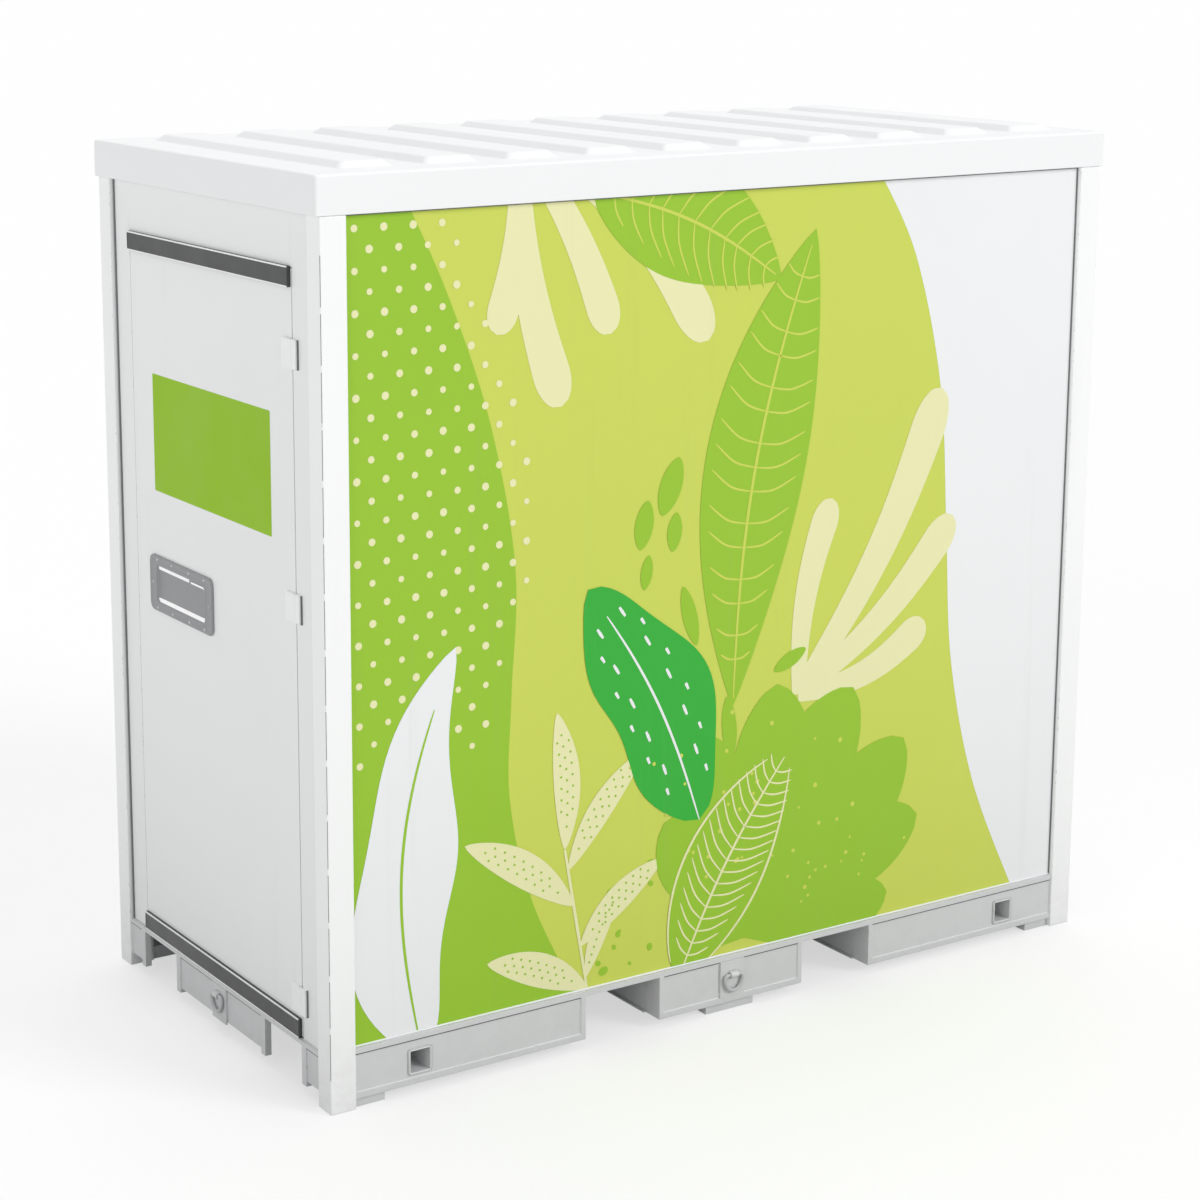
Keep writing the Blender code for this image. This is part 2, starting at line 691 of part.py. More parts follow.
def door_bars(finish):
    x = (LEAF_OUT - GAP - BAR_DEPTH, LEAF_OUT - GAP)
    y = (LEAF_NEAR + DOOR_GAP, LEAF_FAR)
    top = LEAF_TOP + BAR_OVER_LEAF - BAR_HEIGHT
    for name, low in (("top", top), ("bottom", END_LIP_TOP + BAR_OVER_RAIL)):
        z = (low, low + BAR_HEIGHT)
        yield piece(f"door_bar_{name}", finish, [box(x, y, z)], bevel=0.0015)


def door_seal(finish):
    """A frame of sponge rubber on the leaf's inner face, opposite the stops."""
    x = (LEAF_IN + GAP, LEAF_IN + GAP + SEAL_DEPTH)
    outer = SEAL_INSET
    inner = SEAL_INSET + SEAL_WIDTH
    low = LEAF_BOTTOM + STOP_LAP - SEAL_WIDTH / 2
    solid = box(x, (LEAF_NEAR + outer, LEAF_FAR - outer), (low, LEAF_TOP - outer))
    past = (x[0] - SEAL_DEPTH, x[1] + SEAL_DEPTH)
    hole_y = (LEAF_NEAR + inner, LEAF_FAR - inner)
    return piece("door_seal", finish, [solid], [box(past, hole_y, (low + SEAL_WIDTH, LEAF_TOP - inner))])


def hinge_half(side, middle, seat):
    """One half of a hinge: plate, arm and knuckle, on a face at X = seat."""
    low, high = around(middle, HINGE_HEIGHT / 2)
    front = LEAF_OUT - GAP - HINGE_LEAF_DEPTH
    reach = HINGE_FRAME_REACH if side < 0 else HINGE_DOOR_REACH
    span = (low, middle - GAP) if side < 0 else (middle + GAP, high)
    near = LEAF_HINGE_Y + side * HINGE_LEAF_NEAR
    plate = box((front, seat), sorted((near, LEAF_HINGE_Y + side * reach)), (low, high))
    arm_y = sorted((LEAF_HINGE_Y + side * (HINGE_PIN + RUNNING * 2), near + side * WEB))
    arm = box((AXIS_X - HINGE_KNUCKLE / 2, LEAF_OUT - GAP), arm_y, span)
    knuckle = cylinder("Z", span, (AXIS_X, LEAF_HINGE_Y), HINGE_KNUCKLE, 20)
    return [plate, arm, knuckle]


def hinge_frame_halves():
    """The halves welded to the jamb, with the pins that the door's halves turn on."""
    shapes = []
    for middle in HINGE_CENTRES.values():
        shapes += hinge_half(-1, middle, LEAF_OUT + WEB)
        span = (middle - HINGE_PIN, middle + HINGE_HEIGHT / 2 - HINGE_PIN)
        shapes.append(cylinder("Z", span, (AXIS_X, LEAF_HINGE_Y), HINGE_PIN, 16))
    return shapes


def hinge_door_halves(finish):
    for name, middle in HINGE_CENTRES.items():
        past = around(middle, HINGE_HEIGHT)
        bore = cylinder("Z", past, (AXIS_X, LEAF_HINGE_Y), HINGE_PIN + RUNNING, 16)
        yield piece(f"hinge_{name}", finish, hinge_half(1, middle, LEAF_OUT - GAP), [bore])


def grip_pan(finish):
    """A flanged pan with sloping walls; the push pad fills its mouth."""
    y, z = around(PAN_Y, PAN_WIDTH / 2), around(PAN_Z, PAN_HEIGHT / 2)
    flange = prism("X", (PAN_FRONT, PAN_FRONT + PAN_FLANGE), rectangle(y, z, PAN_CORNER))
    body_y = around(PAN_Y, pan_half_width())
    body_z = around(PAN_Z, pan_half_height())
    body = box((PAN_FRONT + PAN_FLANGE / 2, PAN_FRONT + PAN_DEPTH), body_y, body_z)
    layers = []
    half_y, half_z = PAD_WIDTH / 2 + PAD_GAP, PAD_HEIGHT / 2 + PAD_GAP
    back = PAN_FRONT + PAN_DEPTH - PAN_WALL
    slope = PAN_DRAFT / PAN_SLOPE_DEPTH
    for x, wider in (
        (PAN_FRONT - GAP * 4, PAN_DRAFT + GAP * 4 * slope),
        (PAD_FRONT, 0.0),
        (back, 0.0),
    ):
        layers.append((x, rectangle(around(PAN_Y, half_y + wider), around(PAN_Z, half_z + wider))))
    return piece("grip_pan", finish, [flange, body], [loft("X", layers)])


def push_pad(finish):
    """The pad, with its origin on the hinge along its top edge."""
    plate = box(
        (PAD_FRONT, PAD_FRONT + PAD_THICKNESS),
        around(PAN_Y, PAD_WIDTH / 2),
        around(PAN_Z, PAD_HEIGHT / 2),
    )
    across = around(PAN_Y, PAD_WIDTH / 2)
    barrel = cylinder("Y", across, (PAD_AXIS[2], PAD_AXIS[0]), PAD_THICKNESS, 12)
    return piece("push_pad", finish, [plate, barrel], origin=PAD_AXIS)


def lock(finish):
    """The cam behind the pad and the two rods that it throws."""
    x = (LEAF_IN + GAP, CAM_BACK - CAM_PLATE)
    centre = (PAN_Y, PAN_Z)
    disc = cylinder("X", (x[0], x[0] + CAM_PLATE), centre, CAM_RADIUS)
    bore = cylinder("X", (x[0] - CAM_PLATE, x[1]), centre, CAM_PIVOT + RUNNING, 16)
    cam = piece("lock_cam", finish, [disc], [bore], origin=(x[0], *centre))
    rods = []
    for name, side, tip in (
        ("upper", 1, LEAF_TOP - STOP_LAP - ROD_TIP_GAP),
        ("lower", -1, THRESHOLD_TOP + ROD_TIP_GAP),
    ):
        root = PAN_Z + side * (CAM_PIVOT + 2 * RUNNING + ROD_THROW / 10)
        rod = cylinder("Z", sorted((root, tip)), (ROD_X, PAN_Y), ROD_RADIUS, 16)
        foot = box(
            (x[0] + CAM_PLATE + GAP, ROD_X),
            around(PAN_Y, ROD_RADIUS),
            sorted((root, root + side * CAM_PIVOT * 1.5)),
        )
        rods.append(piece(f"lock_rod_{name}", finish, [rod, foot], origin=(ROD_X, PAN_Y, root)))
    return cam, rods


# Transformer
def fin_outline(inner, outer):
    """A comb in the XY plane: a strip at `inner` with a fin out to `outer` at each pitch."""
    reach = (FIN_COUNT - 1) / 2 * FIN_PITCH + FIN_THICKNESS
    outline = [(TANK_X - reach, inner), (TANK_X + reach, inner)]
    strip = inner + math.copysign(TANK_WALL, outer - inner)
    outline.append((TANK_X + reach, strip))
    for i in reversed(range(FIN_COUNT)):
        centre = TANK_X + (i - (FIN_COUNT - 1) / 2) * FIN_PITCH
        high, low = centre + FIN_THICKNESS / 2, centre - FIN_THICKNESS / 2
        outline += [(high, strip), (high, outer), (low, outer), (low, strip)]
    outline.append((TANK_X - reach, strip))
    return outline


def transformer(tank_finish, core_finish, bushing_finish, knob_finish):
    """The open-topped tank with its fins and feet, what stands in it and what its cover carries."""
    half_x, half_y = TANK_LENGTH / 2, TANK_WIDTH / 2
    shell = box(around(TANK_X, half_x), around(0.0, half_y), (TANK_BOTTOM, TANK_TOP))
    fin_z = (TANK_BOTTOM + FIN_DEPTH, TANK_TOP - FIN_DEPTH)
    shapes = [shell]
    for side in (-1, 1):
        edge = side * (half_y - TANK_WALL / 2)
        shapes.append(prism("Z", fin_z, fin_outline(edge, side * (half_y + FIN_DEPTH))))
        foot_x = around(TANK_X + side * half_x * 0.6, BEAM)
        foot_z = (SIDE_LIP_TOP + GAP, TANK_BOTTOM + TANK_WALL / 2)
        shapes.append(box(foot_x, around(0.0, half_y), foot_z))
    hollow = box(
        around(TANK_X, half_x - TANK_WALL),
        around(0.0, half_y - TANK_WALL),
        (TANK_BOTTOM + TANK_WALL, TANK_TOP + TANK_WALL),
    )
    piece("transformer_tank", tank_finish, shapes, [hollow])
    core_and_coils(core_finish)

    cover = box(
        around(TANK_X, half_x + COVER_OVERHANG),
        around(0.0, half_y + COVER_OVERHANG),
        (TANK_TOP + GAP, COVER_TOP),
    )
    root = COVER_TOP - COVER_THICKNESS / 2
    lugs = []
    for side in (-1, 1):
        edge = TANK_X + side * (half_x - COVER_OVERHANG)
        lugs.append(box(around(edge, TANK_WALL), around(0.0, BEAM), (root, COVER_TOP + BEAM)))
    knob = (TANK_X + half_x - KNOB_FROM_END, LV_ROW_Y)
    neck = cylinder("Z", (root, COVER_TOP + KNOB_HEIGHT), knob, KNOB_NECK)
    piece("tank_cover", tank_finish, [cover, *lugs, neck])
    bushings("high_voltage_bushings", bushing_finish, HV_ROW_Y, HV_PITCH, HV_HEIGHT, 3, 4)
    bushings("low_voltage_bushings", bushing_finish, LV_ROW_Y, LV_PITCH, LV_HEIGHT, 4, 2)
    tap_knob(knob_finish, (*knob, COVER_TOP + KNOB_HEIGHT + GAP))


def core_and_coils(finish):
    """Three coils on the limbs of a core that stands on the tank's floor."""
    floor_z = TANK_BOTTOM + TANK_WALL + GAP
    top = floor_z + CORE_HEIGHT
    x = around(TANK_X, COIL_PITCH + CORE_LIMB / 2)
    y = around(0.0, CORE_LIMB / 2)
    shapes = [box(x, y, (floor_z, floor_z + YOKE)), box(x, y, (top - YOKE, top))]
    for i in (-1, 0, 1):
        centre = (TANK_X + i * COIL_PITCH, 0.0)
        coil_z = (floor_z + YOKE + TANK_WALL, top - YOKE - TANK_WALL)
        shapes.append(box(around(centre[0], CORE_LIMB / 2), y, (floor_z + YOKE / 2, top - YOKE / 2)))
        shapes.append(cylinder("Z", coil_z, centre, COIL_RADIUS, 28))
    piece("core_and_coils", finish, shapes)


def bushings(name, finish, y, pitch, height, count, sheds):
    """A row of ribbed insulators on one mounting plate."""
    low = COVER_TOP + GAP
    stem = pitch * 0.19
    plate_x = around(TANK_X, (count - 1) / 2 * pitch + pitch * 0.4)
    shapes = [box(plate_x, around(y, pitch * 0.34), (low, low + COVER_THICKNESS))]
    for i in range(count):
        profile = [(low + COVER_THICKNESS / 2, stem * 1.5), (low + 2 * COVER_THICKNESS, stem * 1.5)]
        step = (height - 4 * COVER_THICKNESS) / sheds
        for shed in range(sheds):
            z = low + 2 * COVER_THICKNESS + shed * step
            profile += [(z + step * 0.35, stem), (z + step * 0.50, stem * 1.6), (z + step * 0.65, stem)]
        profile.append((low + height - COVER_THICKNESS, stem))
        profile.append((low + height, stem * 0.5))
        centre = (TANK_X + (i - (count - 1) / 2) * pitch, y)
        shapes.append(turned("Z", centre, profile, 16))
    piece(name, finish, shapes)


def tap_knob(finish, origin):
    """A knob with a pointer that turns on the neck on the cover."""
    x, y, low = origin
    body = cylinder("Z", (low, low + KNOB_HEIGHT), (x, y), KNOB_RADIUS)
    pointer = box((x, x + KNOB_RADIUS * 1.3), around(y, WEB), (low + WEB, low + KNOB_HEIGHT - WEB))
    piece("tap_changer_knob", finish, [body, pointer], origin=origin)


# Switchgear and low-voltage board
def switchgear(finish, trim_finish):
    """A floor-standing cabinet against the rear wall, with a lever in its recessed panel."""
    back = ROOM_Y - GAP
    panel_y = GEAR_FRONT_Y + BOARD_WALL
    front = (GEAR_FRONT_Y, panel_y + BOARD_WALL)
    low, high = GEAR_TOP - GEAR_PANEL, GEAR_TOP - BEAM
    middle = sum(GEAR_X) / 2
    centre = (LEVER_Z, middle)
    shapes = [
        box(GEAR_X, (panel_y, back), (SIDE_LIP_TOP + GAP, GEAR_TOP)),
        box(GEAR_X, front, (SIDE_LIP_TOP + GAP, low)),
        box(GEAR_X, front, (high, GEAR_TOP)),
        box((GEAR_X[0], GEAR_X[0] + BEAM), front, (low - BEAM, high + WEB)),
        box((GEAR_X[1] - BEAM, GEAR_X[1]), front, (low - BEAM, high + WEB)),
        cylinder("Y", (panel_y - LEVER_DEPTH, panel_y + BOARD_WALL), centre, SPINDLE, 16),
    ]
    piece("switchgear_cabinet", finish, shapes)
    lever_y = (panel_y - GAP - LEVER_DEPTH, panel_y - GAP)
    hub = cylinder("Y", lever_y, centre, 3 * SPINDLE, 24)
    arm = box(around(middle, 1.5 * SPINDLE), lever_y, (LEVER_Z - LEVER_LENGTH, LEVER_Z))
    bore = cylinder("Y", around(panel_y, 2 * LEVER_DEPTH), centre, SPINDLE + RUNNING, 16)
    origin = (middle, panel_y - GAP, LEVER_Z)
    piece("switchgear_lever", trim_finish, [hub, arm], [bore], origin=origin)


def low_voltage_board(finish, dark_finish, toggle_finish):
    """A box on the front wall with a hinged door, and the main breaker inside."""
    body = box(BOARD_X, (BOARD_BACK, BOARD_FRONT), BOARD_Z)
    hollow = box(
        (BOARD_X[0] + BOARD_WALL, BOARD_X[1] - BOARD_WALL),
        (BOARD_BACK + BOARD_WALL, BOARD_FRONT + BOARD_WALL),
        (BOARD_Z[0] + BOARD_WALL, BOARD_Z[1] - BOARD_WALL),
    )
    piece("board_box", finish, [body], [hollow])
    front = (BOARD_FRONT + GAP, BOARD_FRONT + GAP + BOARD_DOOR)
    axis = board_axis()
    cover = box((BOARD_X[0], BOARD_X[1] - WEB), front, BOARD_Z)
    piece("board_door", finish, [cover], origin=axis)

    middle = (sum(BOARD_X) / 2, sum(BOARD_Z) / 2)
    width, depth, height = BREAKER
    back = BOARD_BACK + BOARD_WALL + GAP
    front = back + depth
    case = box(around(middle[0], width / 2), (back, front), around(middle[1], height / 2))
    nose = box(around(middle[0], width / 4), (back, front + BOARD_WALL), around(middle[1], height / 5))
    slot = box(
        around(middle[0], TOGGLE[0] / 2 + RUNNING),
        (back + BOARD_WALL, front + 2 * BOARD_WALL),
        around(middle[1], height / 7),
    )
    piece("main_breaker", dark_finish, [case, nose], [slot])
    pivot = (middle[0], front - BOARD_WALL, middle[1])
    hub = cylinder("X", around(middle[0], TOGGLE[0] / 2), (pivot[1], pivot[2]), TOGGLE[2], 20)
    handle = box(
        around(middle[0], TOGGLE[0] / 2),
        (pivot[1], front + BOARD_WALL + TOGGLE[1] / 2),
        around(middle[1], TOGGLE[2] / 2),
    )
    piece("breaker_toggle", toggle_finish, [hub, handle], origin=pivot)


def board_axis():
    return (BOARD_X[1], BOARD_FRONT + GAP + BOARD_DOOR / 2, sum(BOARD_Z) / 2)


def earth_bar(finish):
    """A copper bar on two standoffs on the front wall."""
    length, thickness, height = EARTH_BAR
    middle = sum(BOARD_X) / 2
    wall = -ROOM_Y + GAP
    z = around(EARTH_BAR_Z, height / 2)
    bar_y = (wall + EARTH_STANDOFF, wall + EARTH_STANDOFF + thickness)
    shapes = [box(around(middle, length / 2), bar_y, z)]
    for side in (-1, 1):
        x = around(middle + side * length * 0.4, EARTH_STANDOFF / 2)
        shapes.append(box(x, (wall, wall + EARTH_STANDOFF + thickness / 2), z))
    piece("earth_bar", finish, shapes)


def clear_scene():
    for obj in list(bpy.data.objects):
        bpy.data.objects.remove(obj)


def main():
    clear_scene()
    white = material("white paint", "EDEFF0", 0.35)
    pale = material("pale grey paint", "DCDCDB", 0.40)
    skid = material("skid grey paint", "C4C4C5", 0.45)
    galvanised = material("galvanised steel", "B4B5B6", 0.40, 0.9)
    dark = material("dark grey rubber", "5F6060", 0.65)
    pan = material("pan grey", "999A9B", 0.45)
    steel = material("bright steel", "C9CACC", 0.30, 1.0)
    tank = material("tank grey paint", "6F7A7C", 0.45)
    winding = material("copper winding", "A5683C", 0.50, 0.6)
    resin = material("resin brown", "6B3A2A", 0.35)
    black = material("black plastic", "26282A", 0.50)
    copper = material("copper", "C98A5E", 0.35, 1.0)
    red = material("red plastic", "B03030", 0.45)

    side_rails(skid)
    end_rails(skid)
    cross_beams(skid)
    floor(galvanised)
    lifting_sockets(skid)
    lashing_rings(skid, galvanised)
    corner_posts(pale)
    wall_panels(white, pale)
    louvre(pale)
    door_frame(pale)
    roof(white)

    leaf = door_leaf(pale)
    riders = [*door_bars(dark), door_seal(black), *hinge_door_halves(pale), grip_pan(pan), push_pad(pan)]
    cam, rods = lock(steel)
    mount_on(leaf, [*riders, cam, *rods])

    transformer(tank, winding, resin, black)
    switchgear(pale, black)
    low_voltage_board(pale, black, red)
    earth_bar(copper)


main()
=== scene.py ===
"""Looks of the walk-in transformer station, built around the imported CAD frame."""

import json
import math
import random

import bmesh
import bpy
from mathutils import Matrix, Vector
from mathutils.geometry import tessellate_polygon

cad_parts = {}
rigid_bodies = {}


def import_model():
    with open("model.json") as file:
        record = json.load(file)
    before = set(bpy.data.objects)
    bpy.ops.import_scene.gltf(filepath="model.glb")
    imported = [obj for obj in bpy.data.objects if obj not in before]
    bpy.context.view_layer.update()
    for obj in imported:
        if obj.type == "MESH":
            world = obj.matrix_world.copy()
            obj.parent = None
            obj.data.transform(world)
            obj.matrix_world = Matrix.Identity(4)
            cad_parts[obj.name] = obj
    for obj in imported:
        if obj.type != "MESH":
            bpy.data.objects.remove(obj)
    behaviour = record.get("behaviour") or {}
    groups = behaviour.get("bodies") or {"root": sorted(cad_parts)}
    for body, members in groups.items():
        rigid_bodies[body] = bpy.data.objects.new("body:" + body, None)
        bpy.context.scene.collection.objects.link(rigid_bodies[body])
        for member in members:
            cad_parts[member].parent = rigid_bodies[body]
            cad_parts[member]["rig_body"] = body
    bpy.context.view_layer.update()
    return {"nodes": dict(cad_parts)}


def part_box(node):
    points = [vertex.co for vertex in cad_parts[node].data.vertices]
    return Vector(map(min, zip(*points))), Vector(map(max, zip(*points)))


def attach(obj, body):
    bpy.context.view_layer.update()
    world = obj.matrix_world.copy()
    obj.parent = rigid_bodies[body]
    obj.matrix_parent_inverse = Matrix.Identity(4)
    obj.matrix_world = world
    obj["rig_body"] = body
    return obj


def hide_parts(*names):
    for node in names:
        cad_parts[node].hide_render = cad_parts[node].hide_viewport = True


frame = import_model()
SCENE = bpy.context.scene


# ---------------------------------------------------------------- colours and node helpers
def linear(value):
    return value / 12.92 if value <= 0.04045 else ((value + 0.055) / 1.055) ** 2.4


def colour(code):
    """Linear RGBA from a six-digit sRGB code."""
    return (*(linear(int(code[i : i + 2], 16) / 255) for i in (0, 2, 4)), 1.0)


class Nodes:
    """A short way to write one material's node tree."""

    def __init__(self, name):
        self.material = bpy.data.materials.new(name)
        self.material.use_nodes = True
        self.tree = self.material.node_tree
        self.shader = self.tree.nodes["Principled BSDF"]
        self.where = self.add("ShaderNodeTexCoord").outputs["Object"]

    def add(self, kind, **settings):
        node = self.tree.nodes.new(kind)
        for key, value in settings.items():
            setattr(node, key, value)
        return node

    def link(self, source, target):
        if isinstance(source, bpy.types.NodeSocket):
            self.tree.links.new(source, target)
        else:
            target.default_value = source

    def stretched(self, scale):
        """Object coordinates scaled differently along each axis."""
        node = self.add("ShaderNodeMapping")
        node.inputs["Scale"].default_value = scale
        self.link(self.where, node.inputs["Vector"])
        return node.outputs["Vector"]

    def noise(self, scale, detail=3.0, rough=0.55, where=None):
        node = self.add("ShaderNodeTexNoise")
        node.inputs["Scale"].default_value = scale
        node.inputs["Detail"].default_value = detail
        node.inputs["Roughness"].default_value = rough
        self.link(where or self.where, node.inputs["Vector"])
        return node.outputs["Fac"]

    def ramp(self, source, low, high, out_low=0.0, out_high=1.0, smooth=True):
        """source from low to high becomes out_low to out_high, and is held beyond them."""
        node = self.add("ShaderNodeMapRange")
        node.interpolation_type = "SMOOTHSTEP" if smooth else "LINEAR"
        for key, value in (
            ("Value", source), ("From Min", low), ("From Max", high), ("To Min", out_low), (
                "To Max", out_high
            )
        ):
            self.link(value, node.inputs[key])
        return node.outputs["Result"]

    def math(self, operation, a, b=0.0, c=0.0):
        node = self.add("ShaderNodeMath", operation=operation)
        for socket, value in zip(node.inputs, (a, b, c)):
            self.link(value, socket)
        return node.outputs[0]

    def mix(self, factor, a, b, blend="MIX"):
        node = self.add("ShaderNodeMix", data_type="RGBA", blend_type=blend)
        self.link(factor, node.inputs[0])
        self.link(a, node.inputs[6])
        self.link(b, node.inputs[7])
        return node.outputs[2]

    def attribute(self, name):
        return self.add("ShaderNodeAttribute", attribute_name=name).outputs["Fac"]

    def axis(self, index):
        node = self.add("ShaderNodeSeparateXYZ")
        self.link(self.where, node.inputs[0])
        return node.outputs[index]

    def bump(self, *layers):
        """Each layer is (height, strength, distance in metres); they are stacked."""
        normal = None
        for height, strength, distance in layers:
            node = self.add("ShaderNodeBump")
            node.inputs["Strength"].default_value = strength
            node.inputs["Distance"].default_value = distance
            self.link(height, node.inputs["Height"])
            if normal:
                self.link(normal, node.inputs["Normal"])
            normal = node.outputs["Normal"]
        self.link(normal, self.shader.inputs["Normal"])

    def set(self, **values):
        """Shader sockets by name, with _ for a space."""
        for key, value in values.items():
            self.link(value, self.shader.inputs[key.replace("_", " ")])


# ---------------------------------------------------------------- materials
INK_GLOSS, INK_GAIN = 0.026, 1.0  # what the film's own gloss adds to each channel, and its cover


def painted(
    name, code, rough=0.36, worn="9A9C9B", peel=0.05, grime=0.07, splash=0.0, waviness=0.25, wear=0.5
):
    """Powder-coated sheet steel: orange peel, slow colour drift, faint rain streaks, splash dirt low down,
    and edges where the coat has worn thin."""
    n = Nodes(name)
    base = colour(code)
    drift = n.noise(0.8, 3)
    fine = n.noise(9.0, 6, 0.65)
    paint = n.mix(n.ramp(drift, 0.3, 0.7, 0.0, 0.045), base, (0.55, 0.57, 0.55, 1.0))
    streaks = n.noise(1.0, 7, 0.6, n.stretched((26.0, 26.0, 0.9)))
    runs = n.math("MULTIPLY", n.ramp(streaks, 0.56, 0.80, 0.0, grime), n.ramp(fine, 0.25, 0.7))
    paint = n.mix(runs, paint, (0.28, 0.27, 0.24, 1.0))
    if splash:
        low = n.ramp(n.axis(2), 0.0, 0.34, 1.0, 0.0)
        dust = n.math("MULTIPLY", n.ramp(n.noise(22.0, 8, 0.7), 0.38, 0.72), low)
        paint = n.mix(n.math("MULTIPLY", dust, splash), paint, (0.23, 0.20, 0.16, 1.0))
    chips = n.math("MULTIPLY", n.attribute("edge"), n.ramp(n.noise(55.0, 5, 0.7), 0.55, 0.66, 0.0, wear))
    paint = n.mix(chips, paint, colour(worn))
    n.set(
        Base_Color=paint,
        Roughness=n.math(
            "ADD", n.ramp(fine, 0.2, 0.8, rough - 0.05, rough + 0.08), n.math("MULTIPLY", runs, 1.2)
        ),
        IOR=1.5,
    )
    n.bump(
        (n.noise(1.6, 2), waviness, 0.004),
        (n.noise(420.0, 2, 0.5), peel, 0.0006),
    )
    return n.material


def vinyl(name, code):
    """Printed film on the wall: very smooth, a slight satin, colour that drifts by a hair."""
    n = Nodes(name)
    base = tuple(max(0.0, c - INK_GLOSS) * INK_GAIN for c in colour(code)[:3]) + (1.0,)
    cloud = n.noise(1.3, 4)
    shade = n.mix(n.ramp(cloud, 0.3, 0.7, 0.0, 0.07), base, tuple(c * 0.80 for c in base[:3]) + (1.0,))
    streaks = n.noise(1.0, 6, 0.6, n.stretched((22.0, 22.0, 0.8)))
    shade = n.mix(n.ramp(streaks, 0.58, 0.84, 0.0, 0.10), shade, (0.34, 0.34, 0.27, 1.0))
    grain = n.noise(900.0, 2)
    n.set(
        Base_Color=n.mix(
            n.ramp(grain, 0.3, 0.7, 0.0, 0.06), shade, tuple(c * 0.9 for c in base[:3]) + (1.0,)
        ),
        Roughness=n.ramp(n.noise(5.0, 5), 0.3, 0.7, 0.44, 0.56),
        IOR=1.38,
    )
    n.bump((n.noise(1.6, 2), 0.22, 0.004), (grain, 0.04, 0.0003))
    return n.material


def metal(name, code, rough=0.32, brushed=(1.0, 1.0, 1.0), dull="7B7C7C", spangle=0.0, stain=0.12):
    """Bare or plated metal: brushed or spangled, with duller patches."""
    n = Nodes(name)
    patches = n.noise(12.0, 6, 0.6)
    lines = n.noise(160.0, 5, 0.65, n.stretched(brushed))
    tint = n.mix(n.ramp(patches, 0.35, 0.75, 0.0, 0.5), colour(code), colour(dull))
    roughness = n.math(
        "ADD", n.ramp(lines, 0.3, 0.7, rough - 0.08, rough + 0.10), n.ramp(patches, 0.4, 0.8, 0.0, stain)
    )
    if spangle:
        cells = n.add("ShaderNodeTexVoronoi", feature="F1")
        cells.inputs["Scale"].default_value = 90.0
        n.link(n.where, cells.inputs["Vector"])
        crystal = n.add("ShaderNodeSeparateColor")
        n.link(cells.outputs["Color"], crystal.inputs[0])
        tint = n.mix(n.math("MULTIPLY", crystal.outputs[0], spangle), tint, (0.80, 0.82, 0.84, 1.0))
        roughness = n.math("ADD", roughness, n.math("MULTIPLY", crystal.outputs[1], 0.12))
    n.set(Base_Color=tint, Roughness=roughness, Metallic=1.0)
    n.bump((lines, 0.12, 0.0003), (patches, 0.10, 0.001))
    return n.material


def moulded(name, code, rough=0.5, grain=700.0, depth=0.12, dust=0.10, sheen=0.0):
    """Moulded plastic, rubber or cast resin with a fine texture and a little dust."""
    n = Nodes(name)
    base = colour(code)
    cloud = n.noise(7.0, 6, 0.6)
    surface = n.noise(grain, 3, 0.6)
    tint = n.mix(n.ramp(cloud, 0.35, 0.8, 0.0, dust), base, (0.42, 0.41, 0.38, 1.0))
    tint = n.mix(
        n.math("MULTIPLY", n.attribute("edge"), 0.25),
        tint,
        tuple(min(1.0, c * 1.6 + 0.03) for c in base[:3]) + (1.0,),
    )
    n.set(
        Base_Color=tint,
        Roughness=n.math(
            "ADD", n.ramp(surface, 0.3, 0.7, rough - 0.05, rough + 0.05), n.ramp(cloud, 0.4, 0.8, 0.0, 0.1)
        ),
    )
    if sheen:
        n.set(Sheen_Weight=sheen)
    n.bump((surface, depth, 0.0004), (cloud, 0.06, 0.001))
    return n.material


def tread(name, code):
    """Floor plate with raised lozenges, scuffed along its high points."""
    n = Nodes(name)
    turned = n.add("ShaderNodeMapping")
    turned.inputs["Rotation"].default_value = (0.0, 0.0, math.radians(45))
    turned.inputs["Scale"].default_value = (34.0, 34.0, 1.0)
    n.link(n.where, turned.inputs["Vector"])
    wave_a = n.add("ShaderNodeTexWave", wave_type="BANDS", bands_direction="X")
    wave_b = n.add("ShaderNodeTexWave", wave_type="BANDS", bands_direction="Y")
    for wave in (wave_a, wave_b):
        wave.inputs["Scale"].default_value = 0.5
        n.link(turned.outputs["Vector"], wave.inputs["Vector"])
    lozenge = n.ramp(
        n.math("MULTIPLY", wave_a.outputs["Fac"], n.math("POWER", wave_b.outputs["Fac"], 4.0)), 0.25, 0.6
    )
    scuffs = n.noise(6.0, 8, 0.7)
    tint = n.mix(
        n.math("MULTIPLY", lozenge, n.ramp(scuffs, 0.4, 0.65, 0.1, 0.7)),
        colour(code),
        (0.62, 0.63, 0.64, 1.0),
    )
    n.set(Base_Color=tint, Roughness=n.ramp(scuffs, 0.3, 0.7, 0.35, 0.6), Metallic=0.6)
    n.bump((lozenge, 0.8, 0.002), (scuffs, 0.1, 0.001))
    return n.material


